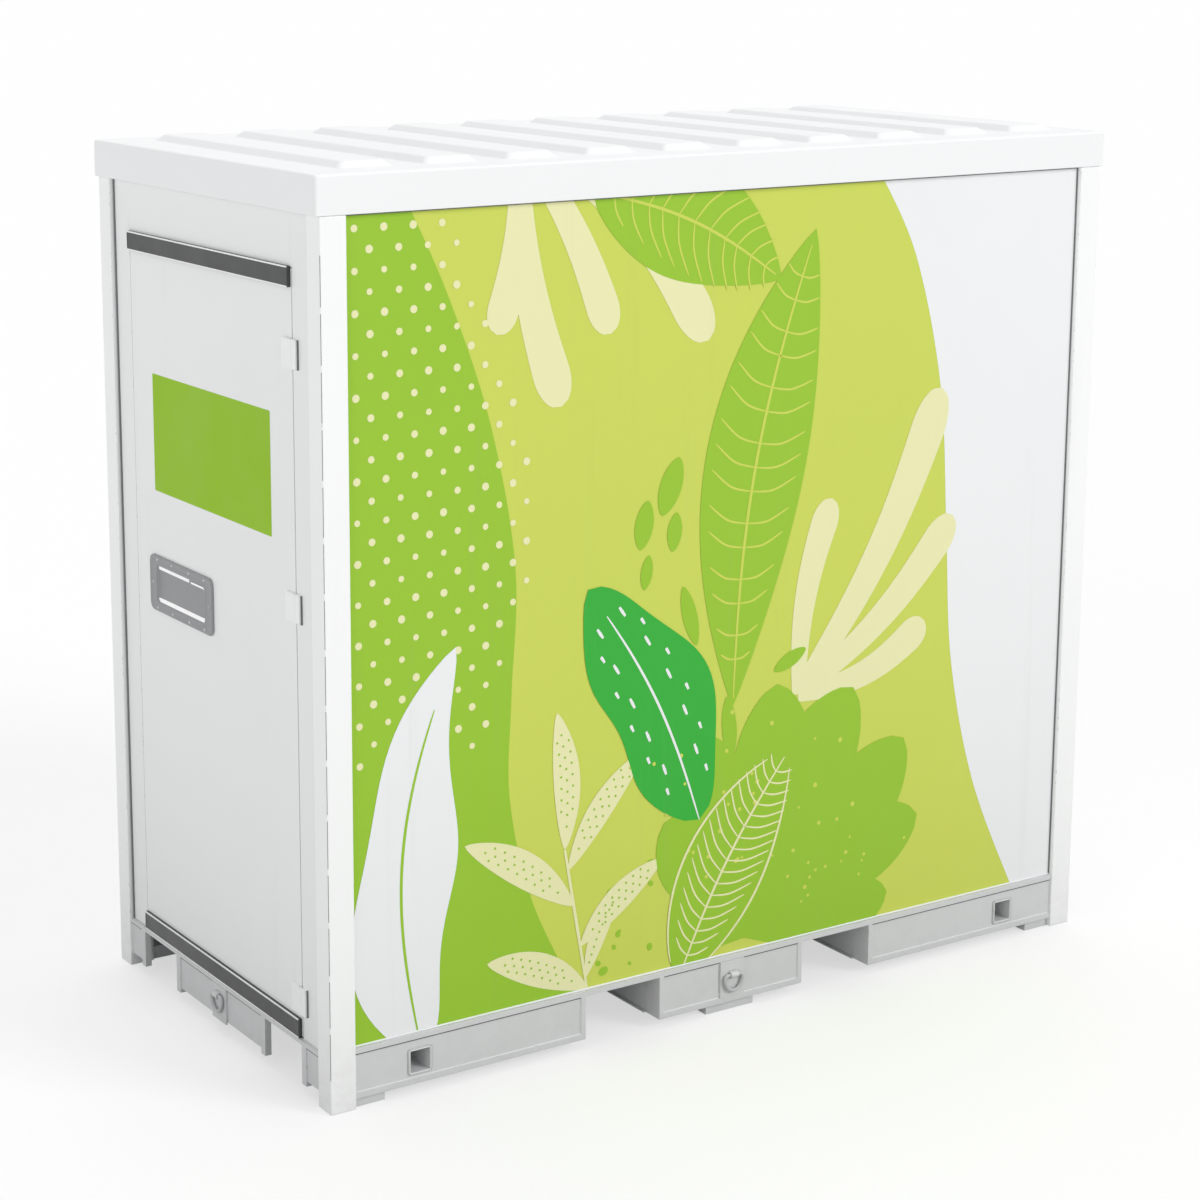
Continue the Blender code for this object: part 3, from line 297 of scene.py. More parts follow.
LOOKS = {
    "wall": painted("white_wall_paint", "F3F5F7"),
    "post": painted("white_post_paint", "FAFBFB", splash=0.10),
    "frame": painted("pale_frame_paint", "F2F3F3", splash=0.14),
    "door": painted("pale_door_paint", "F3F4F4", peel=0.06),
    "cap": painted("white_cap_paint", "F5F6F7", rough=0.46, grime=0.04, waviness=0.3),
    "skid": painted(
        "skid_paint_look", "D7D8D9", rough=0.44, grime=0.05, splash=0.07, wear=0.45, worn="8F8C87"
    ),
    "bar": painted("dark_bar_paint", "323334", rough=0.40, worn="9C9D9E", grime=0.2, wear=0.7),
    "tank": painted("tank_paint_look", "8C9694", rough=0.42, worn="B9BDBB", grime=0.15, wear=0.7),
    "cabinet": painted("cabinet_paint", "C9CCCA", rough=0.40, worn="8C8E8D"),
    "pan": painted("pan_grey_plate", "939496", 0.42, worn="C6C7C8", peel=0.04, grime=0.05, waviness=0.05),
    "chrome": metal("polished_bead", "FAFAFA", 0.16, dull="DDDEDE", stain=0.05),
    # Also the white strips along the edges of the door bars: a painted highlight.
    "hinge": painted("hinge_white_paint_and_bar_highlight", "F9FAFA", worn="9EA09F", wear=0.6),
    "galvanised": metal("galvanised_steel", "B4B8BA", 0.40, spangle=0.6),
    "ring": painted("ring_grey_paint", "C4C5C6", rough=0.38, splash=0.08, wear=0.8, worn="8E8C88"),
    "steel": metal("bright_steel_look", "C4C6C8", 0.26, brushed=(1.0, 1.0, 14.0)),
    "copper": metal("copper_look", "C9805A", 0.28, brushed=(0.15, 1.0, 1.0), dull="8F5A40"),
    "winding": metal("winding_copper_look", "B5653C", 0.35, brushed=(1.0, 1.0, 20.0), dull="7E4A30"),
    "rubber": moulded("seal_rubber", "2E2F31", 0.62, dust=0.12),
    "black": moulded("black_plastic_look", "1E1F21", 0.42),
    "red": moulded("red_plastic_look", "B4281E", 0.38),
    "resin": moulded("resin_look", "8E4A33", 0.22, grain=260.0, depth=0.05, dust=0.06),
    "floor": tread("tread_plate", "6F7476"),
    # Lighter than the skid paint: a painted highlight on socket rims and rail fillets.
    "rim": painted("rim_painted_highlight", "E4E5E5", rough=0.36),
    "weld": painted("weld_paint", "C3C5C5", rough=0.40, splash=0.25, worn="8F8C87", peel=0.02),
    # Real gaskets and seals, and the dark strips of painted shade beside the walls, the door frame and the
    # hinges.
    "gasket": moulded("gasket_rubber_and_painted_shade", "6A6C6E", 0.55, dust=0.15),
    # A dark strip in the slit under each rail lip: painted shade.
    "slit": moulded("slit_painted_shade", "3E4042", 0.6, dust=0.10),
}


def dress(look, *nodes):
    """Gives CAD nodes that stay as they are a finished material."""
    for name in nodes:
        mesh = frame["nodes"][name].data
        mesh.materials.clear()
        mesh.materials.append(LOOKS[look])


# ---------------------------------------------------------------- geometry helpers
class Side:
    """A flat face of the station. Points on it are (right, up, out) as seen by someone facing it."""

    def __init__(self, right, up, out, origin=(0.0, 0.0, 0.0)):
        self.origin = Vector(origin)
        self.axes = [Vector(axis) for axis in (right, up, out)]

    def __call__(self, point):
        return self.origin + sum((axis * c for axis, c in zip(self.axes, point)), Vector())

    def at(self, *origin):
        return Side(*self.axes, origin=origin)


FRONT = Side((1, 0, 0), (0, 0, 1), (0, -1, 0))
REAR = Side((-1, 0, 0), (0, 0, 1), (0, 1, 0))
DOOR_END = Side((0, -1, 0), (0, 0, 1), (-1, 0, 0))
FAR_END = Side((0, 1, 0), (0, 0, 1), (1, 0, 0))
TOP = Side((1, 0, 0), (0, 1, 0), (0, 0, 1))


def finished(name, made, look, body, replaces=(), sharp=32.0, weighted=True):
    """The bmesh as one piece of the object, shaded smooth except at sharp edges."""
    bmesh.ops.recalc_face_normals(made, faces=made.faces)
    mesh = bpy.data.meshes.new(name)
    made.to_mesh(mesh)
    made.free()
    mesh.shade_smooth()
    mesh.set_sharp_from_angle(angle=math.radians(sharp))
    mesh.materials.append(LOOKS[look])
    obj = bpy.data.objects.new(name, mesh)
    SCENE.collection.objects.link(obj)
    if weighted:
        obj.modifiers.new("flats", "WEIGHTED_NORMAL").keep_sharp = True
    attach(obj, body)
    if replaces:
        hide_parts(*replaces)
    return obj


def loft(made, rings, closed=True, start=True, end=True):
    """Skin over rings of equal length; each ring is a list of points. Returns its faces."""
    rows = [[made.verts.new(point) for point in ring] for ring in rings]
    count = len(rows[0])
    faces = []
    for low, high in zip(rows, rows[1:]):
        for i in range(count if closed else count - 1):
            j = (i + 1) % count
            faces.append(made.faces.new((low[i], low[j], high[j], high[i])))
    if start:
        faces.append(made.faces.new(list(reversed(rows[0]))))
    if end:
        faces.append(made.faces.new(rows[-1]))
    return faces


def rounded(half_width, half_height, corner, steps=6):
    """A rectangle with round corners, as (right, up) points, anticlockwise."""
    corner = min(corner, half_width - 1e-6, half_height - 1e-6)
    points = []
    for quarter, (sx, sy) in enumerate(((1, 1), (-1, 1), (-1, -1), (1, -1))):
        for i in range(steps + 1):
            turn = math.pi / 2 * (quarter + i / steps)
            points.append(
                (
                    sx * (half_width - corner) + corner * math.cos(turn),
                    sy * (half_height - corner) + corner * math.sin(turn),
                )
            )
    return points


def round_ring(radius, steps=20):
    turns = [2 * math.pi * i / steps for i in range(steps)]
    return [(radius * math.cos(turn), radius * math.sin(turn)) for turn in turns]


def raised(made, side, centre, profile, outline):
    """A lofted shape on a side: profile is [(shrink, out)], outline(shrink) the ring's (right, up) points."""
    return loft(
        made,
        [[side((centre[0] + x, centre[1] + y, out)) for x, y in outline(shrink)] for shrink, out in profile],
    )


def soft_block(made, side, centre, half, out, edge, corner=None, steps=3, faces_back=False):
    """A plate or block on a side with a rounded front edge: out is (back, front)."""
    corner = edge * 1.5 if corner is None else corner
    back, front = out
    profile = [(edge * 0.6, back), (0.0, back + edge * 0.6)] if faces_back else [(0.0, back)]
    profile += [
        (edge * (1 - math.cos(turn)), front - edge * (1 - math.sin(turn)))
        for turn in (math.pi / 2 * i / steps for i in range(steps + 1))
    ]
    return raised(
        made, side, centre, profile, lambda shrink: rounded(
            half[0] - shrink, half[1] - shrink, max(corner - shrink, 4e-4)
        )
    )


def rod(made, points, radius, steps=12, shape=None, close=False):
    """A tube along points; shape(i, share) scales its radius. Its rings turn as little as they can."""
    points = [Vector(point) for point in points]
    count = len(points)
    tangents = []
    for i in range(count):
        before = points[i - 1] if i or close else points[0]
        after = points[(i + 1) % count] if i + 1 < count or close else points[-1]
        tangents.append((after - before).normalized())
    normal = tangents[0].orthogonal().normalized()
    rings = []
    for i, (point, tangent) in enumerate(zip(points, tangents)):
        normal = (normal - tangent * normal.dot(tangent)).normalized()
        other = tangent.cross(normal)
        size = radius * (shape(i, i / max(1, count - 1)) if shape else 1.0)
        rings.append([point + normal * x + other * y for x, y in round_ring(size, steps)])
    if not close:
        return loft(made, rings)
    rows = [[made.verts.new(p) for p in ring] for ring in rings]
    # The last ring meets the first with the turn that the frame picked up on the way round.
    gap = [(rows[0][k].co - rows[-1][0].co).length for k in range(steps)]
    offset = gap.index(min(gap))
    faces = []
    for i in range(count):
        low, high = rows[i], rows[(i + 1) % count]
        skip = offset if i == count - 1 else 0
        for k in range(steps):
            faces.append(
                made.faces.new(
                    (low[k], low[(k + 1) % steps], high[(k + 1 + skip) % steps], high[(k + skip) % steps])
                )
            )
    return faces


def weld(made, start, end, radius, pitch=0.0042, seed=0):
    """A stitch of weld: a bead with a ripple for each step of the torch."""
    start, end = Vector(start), Vector(end)
    length = (end - start).length
    count = max(4, round(length / pitch)) * 3
    draw = random.Random(f"{seed}{start.x:.4f}{start.z:.4f}{end.y:.4f}")
    wobble = [draw.uniform(0.9, 1.08) for _ in range(count + 1)]

    def bulge(i, share):
        taper = min(1.0, 0.35 + 9 * min(share, 1 - share))
        return taper * wobble[i] * (1.0, 1.10, 1.02)[i % 3]

    return rod(made, [start.lerp(end, i / count) for i in range(count + 1)], radius, 8, bulge)


def screw(made, side, centre, radius, height, drive=6, steps=18):
    """A domed screw head with a socket (drive is its number of corners), or a rivet where drive is 0."""
    dome = [(1.0, 0.0), (1.0, 0.30), (0.93, 0.62), (0.78, 0.88), (0.55, 1.0)]
    base = centre[2] if len(centre) > 2 else 0.0

    def ring(size, up, corners=0):
        points = []
        for i in range(steps):
            turn = 2 * math.pi * i / steps
            reach = size * radius
            if corners:
                part = math.pi / corners
                reach *= math.cos(part) / math.cos((turn % (2 * part)) - part)
            points.append(
                side(
                    (
                        centre[0] + reach * math.cos(turn),
                        centre[1] + reach * math.sin(turn),
                        base + up * height,
                    )
                )
            )
        return points

    rings = [ring(size, up) for size, up in dome]
    if drive:
        rings += [ring(0.48, 1.0, drive), ring(0.46, 0.35, drive)]
    else:
        rings += [ring(0.26, 1.0), ring(0.22, 0.70)]
    return loft(made, rings)


def hexagon(made, side, centre, across, height, washer=True):
    """A hexagon bolt head with its chamfer, on a washer."""
    right, up, base = centre
    if washer:
        radius = across * 0.98
        thick = across * 0.13
        rows = ((radius, base), (radius, base + across * 0.10), (radius * 0.95, base + thick))
        pin(made, side, (right, up), rows, 24)
        base += thick
    corner = across / math.sqrt(3)

    def ring(scale, cut, z):
        points = []
        for i in range(24):
            turn = 2 * math.pi * i / 24
            flat = corner * math.cos(math.pi / 6) / math.cos((turn % (math.pi / 3)) - math.pi / 6)
            reach = min(flat, cut * corner) * scale
            points.append(side((right + reach * math.cos(turn), up + reach * math.sin(turn), base + z)))
        return points

    loft(made, [ring(1, 1, 0), ring(1, 1, height * 0.82), ring(1, 0.93, height), ring(0.5, 1, height)])


def smooth_line(points, steps=14):
    """A Catmull-Rom curve through points of two or three coordinates."""
    last = len(points) - 1
    line = []
    for i in range(last):
        near = [points[min(max(i + k, 0), last)] for k in (-1, 0, 1, 2)]
        for t in (step / steps for step in range(steps)):
            line.append(
                tuple(
                    b + 0.5 * t * (c - a + t * (2 * a - 5 * b + 4 * c - d + t * (3 * b - a - 3 * c + d)))
                    for a, b, c, d in zip(*near)
                )
            )
    line.append(tuple(points[-1]))
    return line


def swept(made, points, radius, steps=14):
    """A cable through the points, with soft bends."""
    return rod(made, smooth_line(points, 8), radius, steps)


def pin(made, side, centre, profile, steps=20):
    """A turned shape standing on a side: profile is [(radius, out)]."""
    return loft(
        made,
        [
            [side((centre[0] + x, centre[1] + y, out)) for x, y in round_ring(radius, steps)]
            for radius, out in profile
        ],
    )


def soften(node, width=0.0012, look="post", segments=2, sharp=28.0, body=None, name=None, limit=30.0):
    """A piece with the CAD node's own shape, its hard edges rounded and marked for wear."""
    source = frame["nodes"][node]
    made = bmesh.new()
    made.from_mesh(source.data)
    bmesh.ops.remove_doubles(made, verts=made.verts, dist=2e-5)
    bmesh.ops.dissolve_limit(
        made, angle_limit=math.radians(1.0), verts=made.verts, edges=made.edges, use_dissolve_boundaries=False
    )
    edges = [
        e for e in made.edges if len(e.link_faces) == 2 and e.calc_face_angle(0.0) > math.radians(limit)
    ]
    mark = made.faces.layers.float.new("edge")
    rounded_off = bmesh.ops.bevel(
        made, geom=edges, offset=width, offset_type="OFFSET", segments=segments, profile=0.5, affect="EDGES",
        clamp_overlap=True,
    )
    for face in rounded_off["faces"]:
        face[mark] = 1.0
    bmesh.ops.triangulate(made, faces=[f for f in made.faces if len(f.verts) > 4])
    return finished(
        name or f"{node}_skin", made, look, body or source["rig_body"], replaces=(node,), sharp=sharp
    )


# ---------------------------------------------------------------- where things are
BOX = {name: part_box(name) for name in frame["nodes"]}


def span(node, index):
    """(low, high) of a CAD node along one axis: 0 is X, 1 is Y, 2 is Z."""
    low, high = BOX[node]
    return low[index], high[index]


def middle(node, index):
    low, high = span(node, index)
    return (low + high) / 2


def half_size(node, index):
    low, high = span(node, index)
    return (high - low) / 2


for look, slot, names in (
    ("skid", "skid_paint", "side_rail_front side_rail_rear end_rail_door end_rail_far door_threshold"),
    ("skid", "skid_paint", "cross_beam_1 cross_beam_2 cross_beam_3 cross_beam_4"),
    ("skid", "skid_paint", "lifting_socket_front_door lifting_socket_front_far"),
    ("skid", "skid_paint", "lifting_socket_rear_door lifting_socket_rear_far"),
    (
        "post",
        "pale_paint",
        "corner_post_front_door corner_post_front_far corner_post_rear_door corner_post_rear_far",
    ),
    ("frame", "pale_paint", "door_header door_jamb_hinge door_jamb_lock"),
):
    for name in names.split():
        soften(name, 0.0012, look)

dress("rubber", "door_seal")
dress("steel", "lock_cam", "lock_rod_upper", "lock_rod_lower")
dress("cabinet", "louvre", "board_box", "board_door", "switchgear_cabinet")
dress("tank", "transformer_tank", "tank_cover")
dress("winding", "core_and_coils")
dress("resin", "high_voltage_bushings", "low_voltage_bushings")
dress("black", "tap_changer_knob", "main_breaker")
dress("red", "switchgear_lever", "breaker_toggle")
dress("copper", "earth_bar")
dress("floor", "floor_plate")


# ---------------------------------------------------------------- vinyl film on the long side
WALL_X, WALL_Z = span("wall_front", 0), span("wall_front", 2)
WALL_FACE = -span("wall_front", 1)[0]
FILM_X = (WALL_X[0] + 0.0035, WALL_X[1] - 0.0035)
FILM_Z = (WALL_Z[0] + 0.0045, WALL_Z[1] - 0.004)
FILM = 0.0004
FILM_STEP = 0.00001  # between sheets of one layer, so that no two lie in the same plane
CREAM, LIME, GREEN, DEEP, WHITE = "F0EFBB", "D1DD66", "9FCB44", "45B549", "F4F6F7"


def on_wall(share_x, share_z):
    """A point of the long side from its shares of the film's width and height."""
    return (
        FILM_X[0] + share_x * (FILM_X[1] - FILM_X[0]),
        FILM_Z[0] + share_z * (FILM_Z[1] - FILM_Z[0]),
    )


def clipped(outline):
    """The outline cut to the film's rectangle."""
    for axis, limit, sign in ((0, FILM_X[0], 1), (0, FILM_X[1], -1), (1, FILM_Z[0], 1), (1, FILM_Z[1], -1)):
        kept = []
        for a, b in zip(outline, outline[1:] + outline[:1]):
            in_a, in_b = sign * (a[axis] - limit) >= 0, sign * (b[axis] - limit) >= 0
            if in_a:
                kept.append(a)
            if in_a != in_b:
                t = (limit - a[axis]) / (b[axis] - a[axis])
                kept.append(tuple(a[k] + t * (b[k] - a[k]) for k in (0, 1)))
        outline = kept
        if len(outline) < 3:
            return []
    clean = []
    for point in outline:
        if not clean or math.dist(point, clean[-1]) > 2e-5:
            clean.append(point)
    return clean if len(clean) > 2 and math.dist(clean[0], clean[-1]) > 2e-5 else clean[:-1]


def film(name, code, level, outlines, side=None, face=None, body="enclosure"):
    """Flat pieces of one colour, stuck on in the level-th layer, each a closed thin sheet."""
    side = side or FRONT
    face = WALL_FACE if face is None else face
    made = bmesh.new()
    for number, outline in enumerate(outlines):
        low = face + 0.00005 + level * FILM
        high = low + FILM / 4 + number % 24 * FILM_STEP
        outline = clipped(list(outline)) if side is FRONT else list(outline)
        if len(outline) < 3:
            continue
        area = sum(a[0] * b[1] - b[0] * a[1] for a, b in zip(outline, outline[1:] + outline[:1]))
        if area < 0:
            outline.reverse()
        back = [made.verts.new(side((x, z, low))) for x, z in outline]
        front = [made.verts.new(side((x, z, high))) for x, z in outline]
        for a, b, c in tessellate_polygon([[Vector((x, z, 0.0)) for x, z in outline]]):
            for row in (front, back):
                if len({a, b, c}) == 3:
                    made.faces.new((row[a], row[b], row[c]))
        for i in range(len(outline)):
            j = (i + 1) % len(outline)
            made.faces.new((back[i], back[j], front[j], front[i]))
    look = f"film_{code}"
    if look not in LOOKS:
        LOOKS[look] = vinyl(f"vinyl_{code}", code)
    return finished(name, made, look, body, weighted=False)


def leaf(base, tip, width, bend=0.0, fullness=0.8, skew=1.0, wave=0.0, waves=3.0, steps=36):
    """An outline from base to tip. fullness below 1 rounds it, skew moves its widest part, bend curves it."""
    _, sides = leaf_frame(base, tip, width, bend, fullness, skew, wave, waves, steps)
    left = [tuple(p + n * w[0] for p, n in zip(point, normal)) for point, normal, w in sides]
    right = [tuple(p - n * w[1] for p, n in zip(point, normal)) for point, normal, w in sides]
    return left + right[::-1][1:-1]


def leaf_frame(base, tip, width, bend, fullness, skew, wave=0.0, waves=3.0, steps=36):
    """The points of a leaf's rib, each with its (point, normal, (reach to the left, to the right))."""
    base, tip = Vector(base), Vector(tip)
    along = tip - base
    across = Vector((-along.y, along.x)).normalized()
    rib, sides = [], []
    for i in range(steps + 1):
        t = i / steps
        point = base + along * t + across * (bend * along.length * math.sin(math.pi * t))
        slope = along + across * (bend * along.length * math.pi * math.cos(math.pi * t))
        normal = Vector((-slope.y, slope.x)).normalized()
        reach = width / 2 * max(0.0, math.sin(math.pi * t**skew)) ** fullness
        ripple = wave * math.sin(2 * math.pi * waves * t)
        rib.append(point)
        sides.append((point, normal, (reach * (1 + ripple), reach * (1 - ripple))))
    return rib, sides


def stroke(points, width, taper=0.35):
    """A line of the film, as an outline that narrows towards its ends."""
    points = [Vector(p) for p in points]
    left, right = [], []
    for i, point in enumerate(points):
        slope = points[min(i + 1, len(points) - 1)] - points[max(i - 1, 0)]
        normal = Vector((-slope.y, slope.x)).normalized()
        share = i / (len(points) - 1)
        half = width / 2 * (
            taper + (1 - taper) * math.sin(math.pi * share) ** 0.5 if 0 < share < 1 else taper
        )
        left.append(tuple(point + normal * half))
        right.append(tuple(point - normal * half))
    return left + right[::-1]


def heading_of(degrees):
    """The unit vector at an angle on the wall, anticlockwise from the right."""
    turn = math.radians(degrees)
    return Vector((math.cos(turn), math.sin(turn)))


def veins(
    base, tip, width, bend, fullness, skew, count, line, lean=0.55, reach=0.86, first=0.10, last=0.90
):
    """The rib of a leaf and its pairs of side veins."""
    rib, sides = leaf_frame(base, tip, width, bend, fullness, skew, steps=60)
    lines = [stroke(rib[1:-2], line * 1.5)]
    length = (Vector(tip) - Vector(base)).length
    for k in range(count):
        at = round((first + (last - first) * k / (count - 1)) * 60)
        point, normal, (half, _) = sides[at]
        forward = (rib[min(at + 1, 60)] - rib[at - 1]).normalized()
        for sign in (1, -1):
            end = point + normal * (sign * half * reach) + forward * (lean * half)
            mid = (point + end) / 2 - forward * (0.10 * half)
            if half > 0.01 * length:
                lines.append(stroke(smooth_line([tuple(point), tuple(mid), tuple(end)], 5), line))
    return lines


def disc(centre, radius, steps=16, stretch=1.0, turn=0.0):
    """A round or oval dot, as an outline."""
    outline = []
    for i in range(steps):
        a = 2 * math.pi * i / steps
        x, y = radius * math.cos(a), radius * stretch * math.sin(a)
        outline.append(
            (
                centre[0] + x * math.cos(turn) - y * math.sin(turn),
                centre[1] + x * math.sin(turn) + y * math.cos(turn),
            )
        )
    return outline


FINGER_SHOULDER = 0.86  # how far along a finger its round end begins


def lobes(base, heading, fingers):
    """A rounded leaf with fingers, each an outline of its own.

    fingers are (angle from heading, length, width, curl).
    """
    outlines = []
    base = Vector(base)
    for angle, length, width, curl in fingers:
        tip = base + heading_of(heading + angle) * length
        _, sides = leaf_frame(base, tip, width, curl, 1.0, 1.0, steps=80)
        left, right = [], []
        for i, (point, normal, _) in enumerate(sides):
            t = i / (len(sides) - 1)
            past = max(0.0, (t - FINGER_SHOULDER) / (1 - FINGER_SHOULDER))
            reach = width / 2 * (0.42 + 0.58 * t**0.8) * math.sqrt(max(0.0, 1 - past**2))
            left.append(tuple(point + normal * reach))
            right.append(tuple(point - normal * reach))
        outlines.append(left + right[::-1][1:])
    return outlines


def film_art():
    """The foliage on the long side, layer by layer from the wall outwards."""

    def at(*shares):
        return [on_wall(x, z) for x, z in zip(shares[::2], shares[1::2])]

    left_edge = smooth_line(
        at(
            0.068,
            1.02,
            0.120,
            0.90,
            0.172,
            0.74,
            0.203,
            0.56,
            0.198,
            0.40,
            0.196,
            0.27,
            0.226,
            0.13,
            0.292,
            -0.02,
        )
    )
    right_edge = smooth_line(
        at(0.690, 1.02, 0.752, 0.90, 0.796, 0.72, 0.812, 0.52, 0.826, 0.34, 0.868, 0.16, 0.944, -0.02)
    )
    corners = at(0, 0, 1, 0, 1, 1, 0, 1)
    film("film_lime", LIME, 0, [corners])
    film("film_green_band", GREEN, 1, [[*left_edge, on_wall(-0.02, -0.02), on_wall(-0.02, 1.02)]])
    film("film_white_field", WHITE, 1, [[*right_edge, on_wall(1.02, -0.02), on_wall(1.02, 1.02)]])

    dots = []
    pitch_x, pitch_z = 0.0345, 0.0245
    for row in range(28):
        for column in range(8):
            x = 0.010 + column * pitch_x + (row % 2) * pitch_x / 2
            z = 0.985 - row * pitch_z
            if x < 0.232 - 0.42 * abs(z - 0.62) ** 1.35 and z > 0.33 + 0.5 * max(0.0, x - 0.12):
                dots.append(disc(on_wall(x, z), 0.0100 + 0.0012 * math.sin(row * 1.7 + column), 14))
    film("film_cream_dots", CREAM, 2, dots)

    # Pale stem leaf low on the left.
    stem = (on_wall(0.083, -0.03), on_wall(0.128, 0.475), 0.30, 0.10, 0.75, 0.72)
    film("film_white_leaf", WHITE, 3, [leaf(*stem, wave=0.22, waves=1.4)])
    rib, _ = leaf_frame(*stem, steps=40)
    film("film_white_leaf_rib", GREEN, 4, [stroke(rib[1:35], 0.009)])

    # Rounded leaves, one hanging from the top and one at the right.
    from_top = (
        (
            -21, 0.52, 0.105, 0.06
        ), (-3, 0.74, 0.125, -0.05), (15, 0.62, 0.112, 0.05), (33, 0.86, 0.135, 0.09),
    )
    at_right = (
        (
            -30, 0.50, 0.110, -0.10
        ), (-9, 0.74, 0.120, -0.06), (11, 1.00, 0.140, -0.05), (31, 0.58, 0.105, 0.06),
    )
    hands = lobes(on_wall(0.205, 1.08), -76, from_top) + lobes(on_wall(0.592, 0.335), 48, at_right)
    film("film_cream_lobes", CREAM, 2, hands)

    # Mid-green leaves: one under the cap, a tall one, small ones and a split fan.
    hanging = (on_wall(0.300, 1.01), on_wall(0.555, 0.885), 0.34, 0.06, 0.8, 0.85)
    tall = (on_wall(0.497, 0.335), on_wall(0.604, 0.945), 0.36, 0.05, 0.85, 1.05)
    greens = [leaf(*hanging), leaf(*tall)]
    for foot, tip, width in (
        ((0.445, 0.425), (0.425, 0.505), 0.050), ((0.497, 0.265), (0.489, 0.350), 0.052),
        ((0.556, 0.372), (0.602, 0.396), 0.046), ((0.395, 0.600), (0.418, 0.672), 0.075),
        ((0.366, 0.560), (0.376, 0.622), 0.062), ((0.410, 0.552), (0.415, 0.602), 0.050),
        ((0.372, 0.508), (0.378, 0.552), 0.040),
    ):
        greens.append(leaf(on_wall(*foot), on_wall(*tip), width, fullness=0.6))
    centre = Vector(on_wall(0.520, 0.015))
    fan = (
        (150, 0.30, 0.13), (126, 0.50, 0.17), (104, 0.66, 0.19), (82, 0.76, 0.20),
        (61, 0.80, 0.20), (41, 0.78, 0.19), (22, 0.70, 0.17), (4, 0.54, 0.14),
    )
    for k, (angle, length, width) in enumerate(fan):
        tip = centre + heading_of(angle) * length
        greens.append(leaf(centre, tip, width * 1.45, bend=0.03 * (-1) ** k, fullness=0.62, skew=1.7))
    film("film_green_leaves", GREEN, 3, greens)
    lines = veins(*hanging, 11, 0.006) + veins(*tall, 15, 0.0065, lean=0.30)
    film("film_lime_veins", LIME, 4, lines)

    specks = []
    draw = random.Random(7)
    for _ in range(46):
        angle, reach = draw.uniform(12, 140), draw.uniform(0.22, 0.70)
        specks.append(disc(centre + heading_of(angle) * reach, draw.uniform(0.004, 0.008), 9))
    film("film_lime_specks", LIME, 4, specks)

    # Dark leaf with a white rib and dashes.
    dark = (on_wall(0.452, 0.192), on_wall(0.297, 0.520), 0.34, -0.05, 0.62, 0.9)
    film("film_dark_leaf", DEEP, 4, [leaf(*dark, wave=0.13, waves=1.6)])
    rib, sides = leaf_frame(*dark, steps=40)
    marks = [stroke(rib[0:36], 0.008)]
    for k, at_rib in enumerate(range(6, 36, 3)):
        point, normal, (half, _) = sides[at_rib]
        forward = (rib[at_rib + 1] - rib[at_rib]).normalized()
        out, length = (0.42, 0.034) if k % 2 else (0.62, 0.022)
        for sign in (1, -1):
            start = point + normal * (sign * half * out)
            marks.append(stroke([start, start + forward * 0.017, start + forward * length], 0.010, 0.7))
    film("film_white_marks", WHITE, 5, marks)

    # Cream spray and a cream leaf drawn in lines.
    root, top = Vector(on_wall(0.300, -0.01)), Vector(on_wall(0.268, 0.190))
    spray, seeds = [], []
    for share, angle, length, width in (
        (0.05, 157, 0.36, 0.098), (0.12, 64, 0.27, 0.056), (0.34, 36, 0.35, 0.084),
        (0.62, 146, 0.43, 0.100), (0.86, 50, 0.40, 0.080), (1.00, 94, 0.40, 0.088),
    ):
        start, along = root.lerp(top, share), heading_of(angle)
        across = Vector((-along.y, along.x))
        bend = 0.05 if angle < 90 else -0.05
        spray.append(leaf(start, start + along * length, width, fullness=0.72, bend=bend))
        rows = 12
        for step in range(2, rows - 1):
            t = step / rows
            room = width / 2 * math.sin(math.pi * t) ** 0.72 - 0.012
            for offset in (-0.019, 0.0, 0.019):
                if abs(offset) < room:
                    sag = bend * length * math.sin(math.pi * t)
                    place = start + along * (length * t + abs(offset) * 0.7) + across * (offset + sag)
                    seeds.append(disc(place, 0.0036, 8))
    film("film_cream_spray", CREAM, 3, [*spray, stroke([root, root.lerp(top, 0.5), top], 0.010, 0.8)])
    film("film_green_seeds", GREEN, 4, seeds)
    scattered = []
    for _ in range(26):
        x, z = draw.uniform(0.300, 0.460), draw.uniform(0.015, 0.150)
        scattered.append(disc(on_wall(x, z), draw.uniform(0.005, 0.013), 14, 1.25, draw.uniform(0, 3)))
    film("film_green_spots", GREEN, 2, scattered)
    drawn = (on_wall(0.425, -0.02), on_wall(0.580, 0.262), 0.30, 0.04, 0.75, 0.9)
    border = leaf(*drawn)
    film("film_green_leaf_ground", GREEN, 4, [border])
    lines = veins(*drawn, 17, 0.0055) + [stroke(border[2:34], 0.008), stroke(border[38:70], 0.008)]
    film("film_cream_lines", CREAM, 5, lines)


film_art()


# ---------------------------------------------------------------- roof
def flat_ring(side, centre, half, corner, out, steps=6):
    """A rounded rectangle on a side, at one height above it."""
    return [side((centre[0] + x, centre[1] + y, out)) for x, y in rounded(half[0], half[1], corner, steps)]


def stepped(made, side, centre, half, profile, steps=6):
    """A lofted plate on a side: profile is [(shrink, out, corner)]."""
    return loft(
        made,
        [
            flat_ring(side, centre, (half[0] - shrink, half[1] - shrink), corner, out, steps)
            for shrink, out, corner in profile
        ],
    )


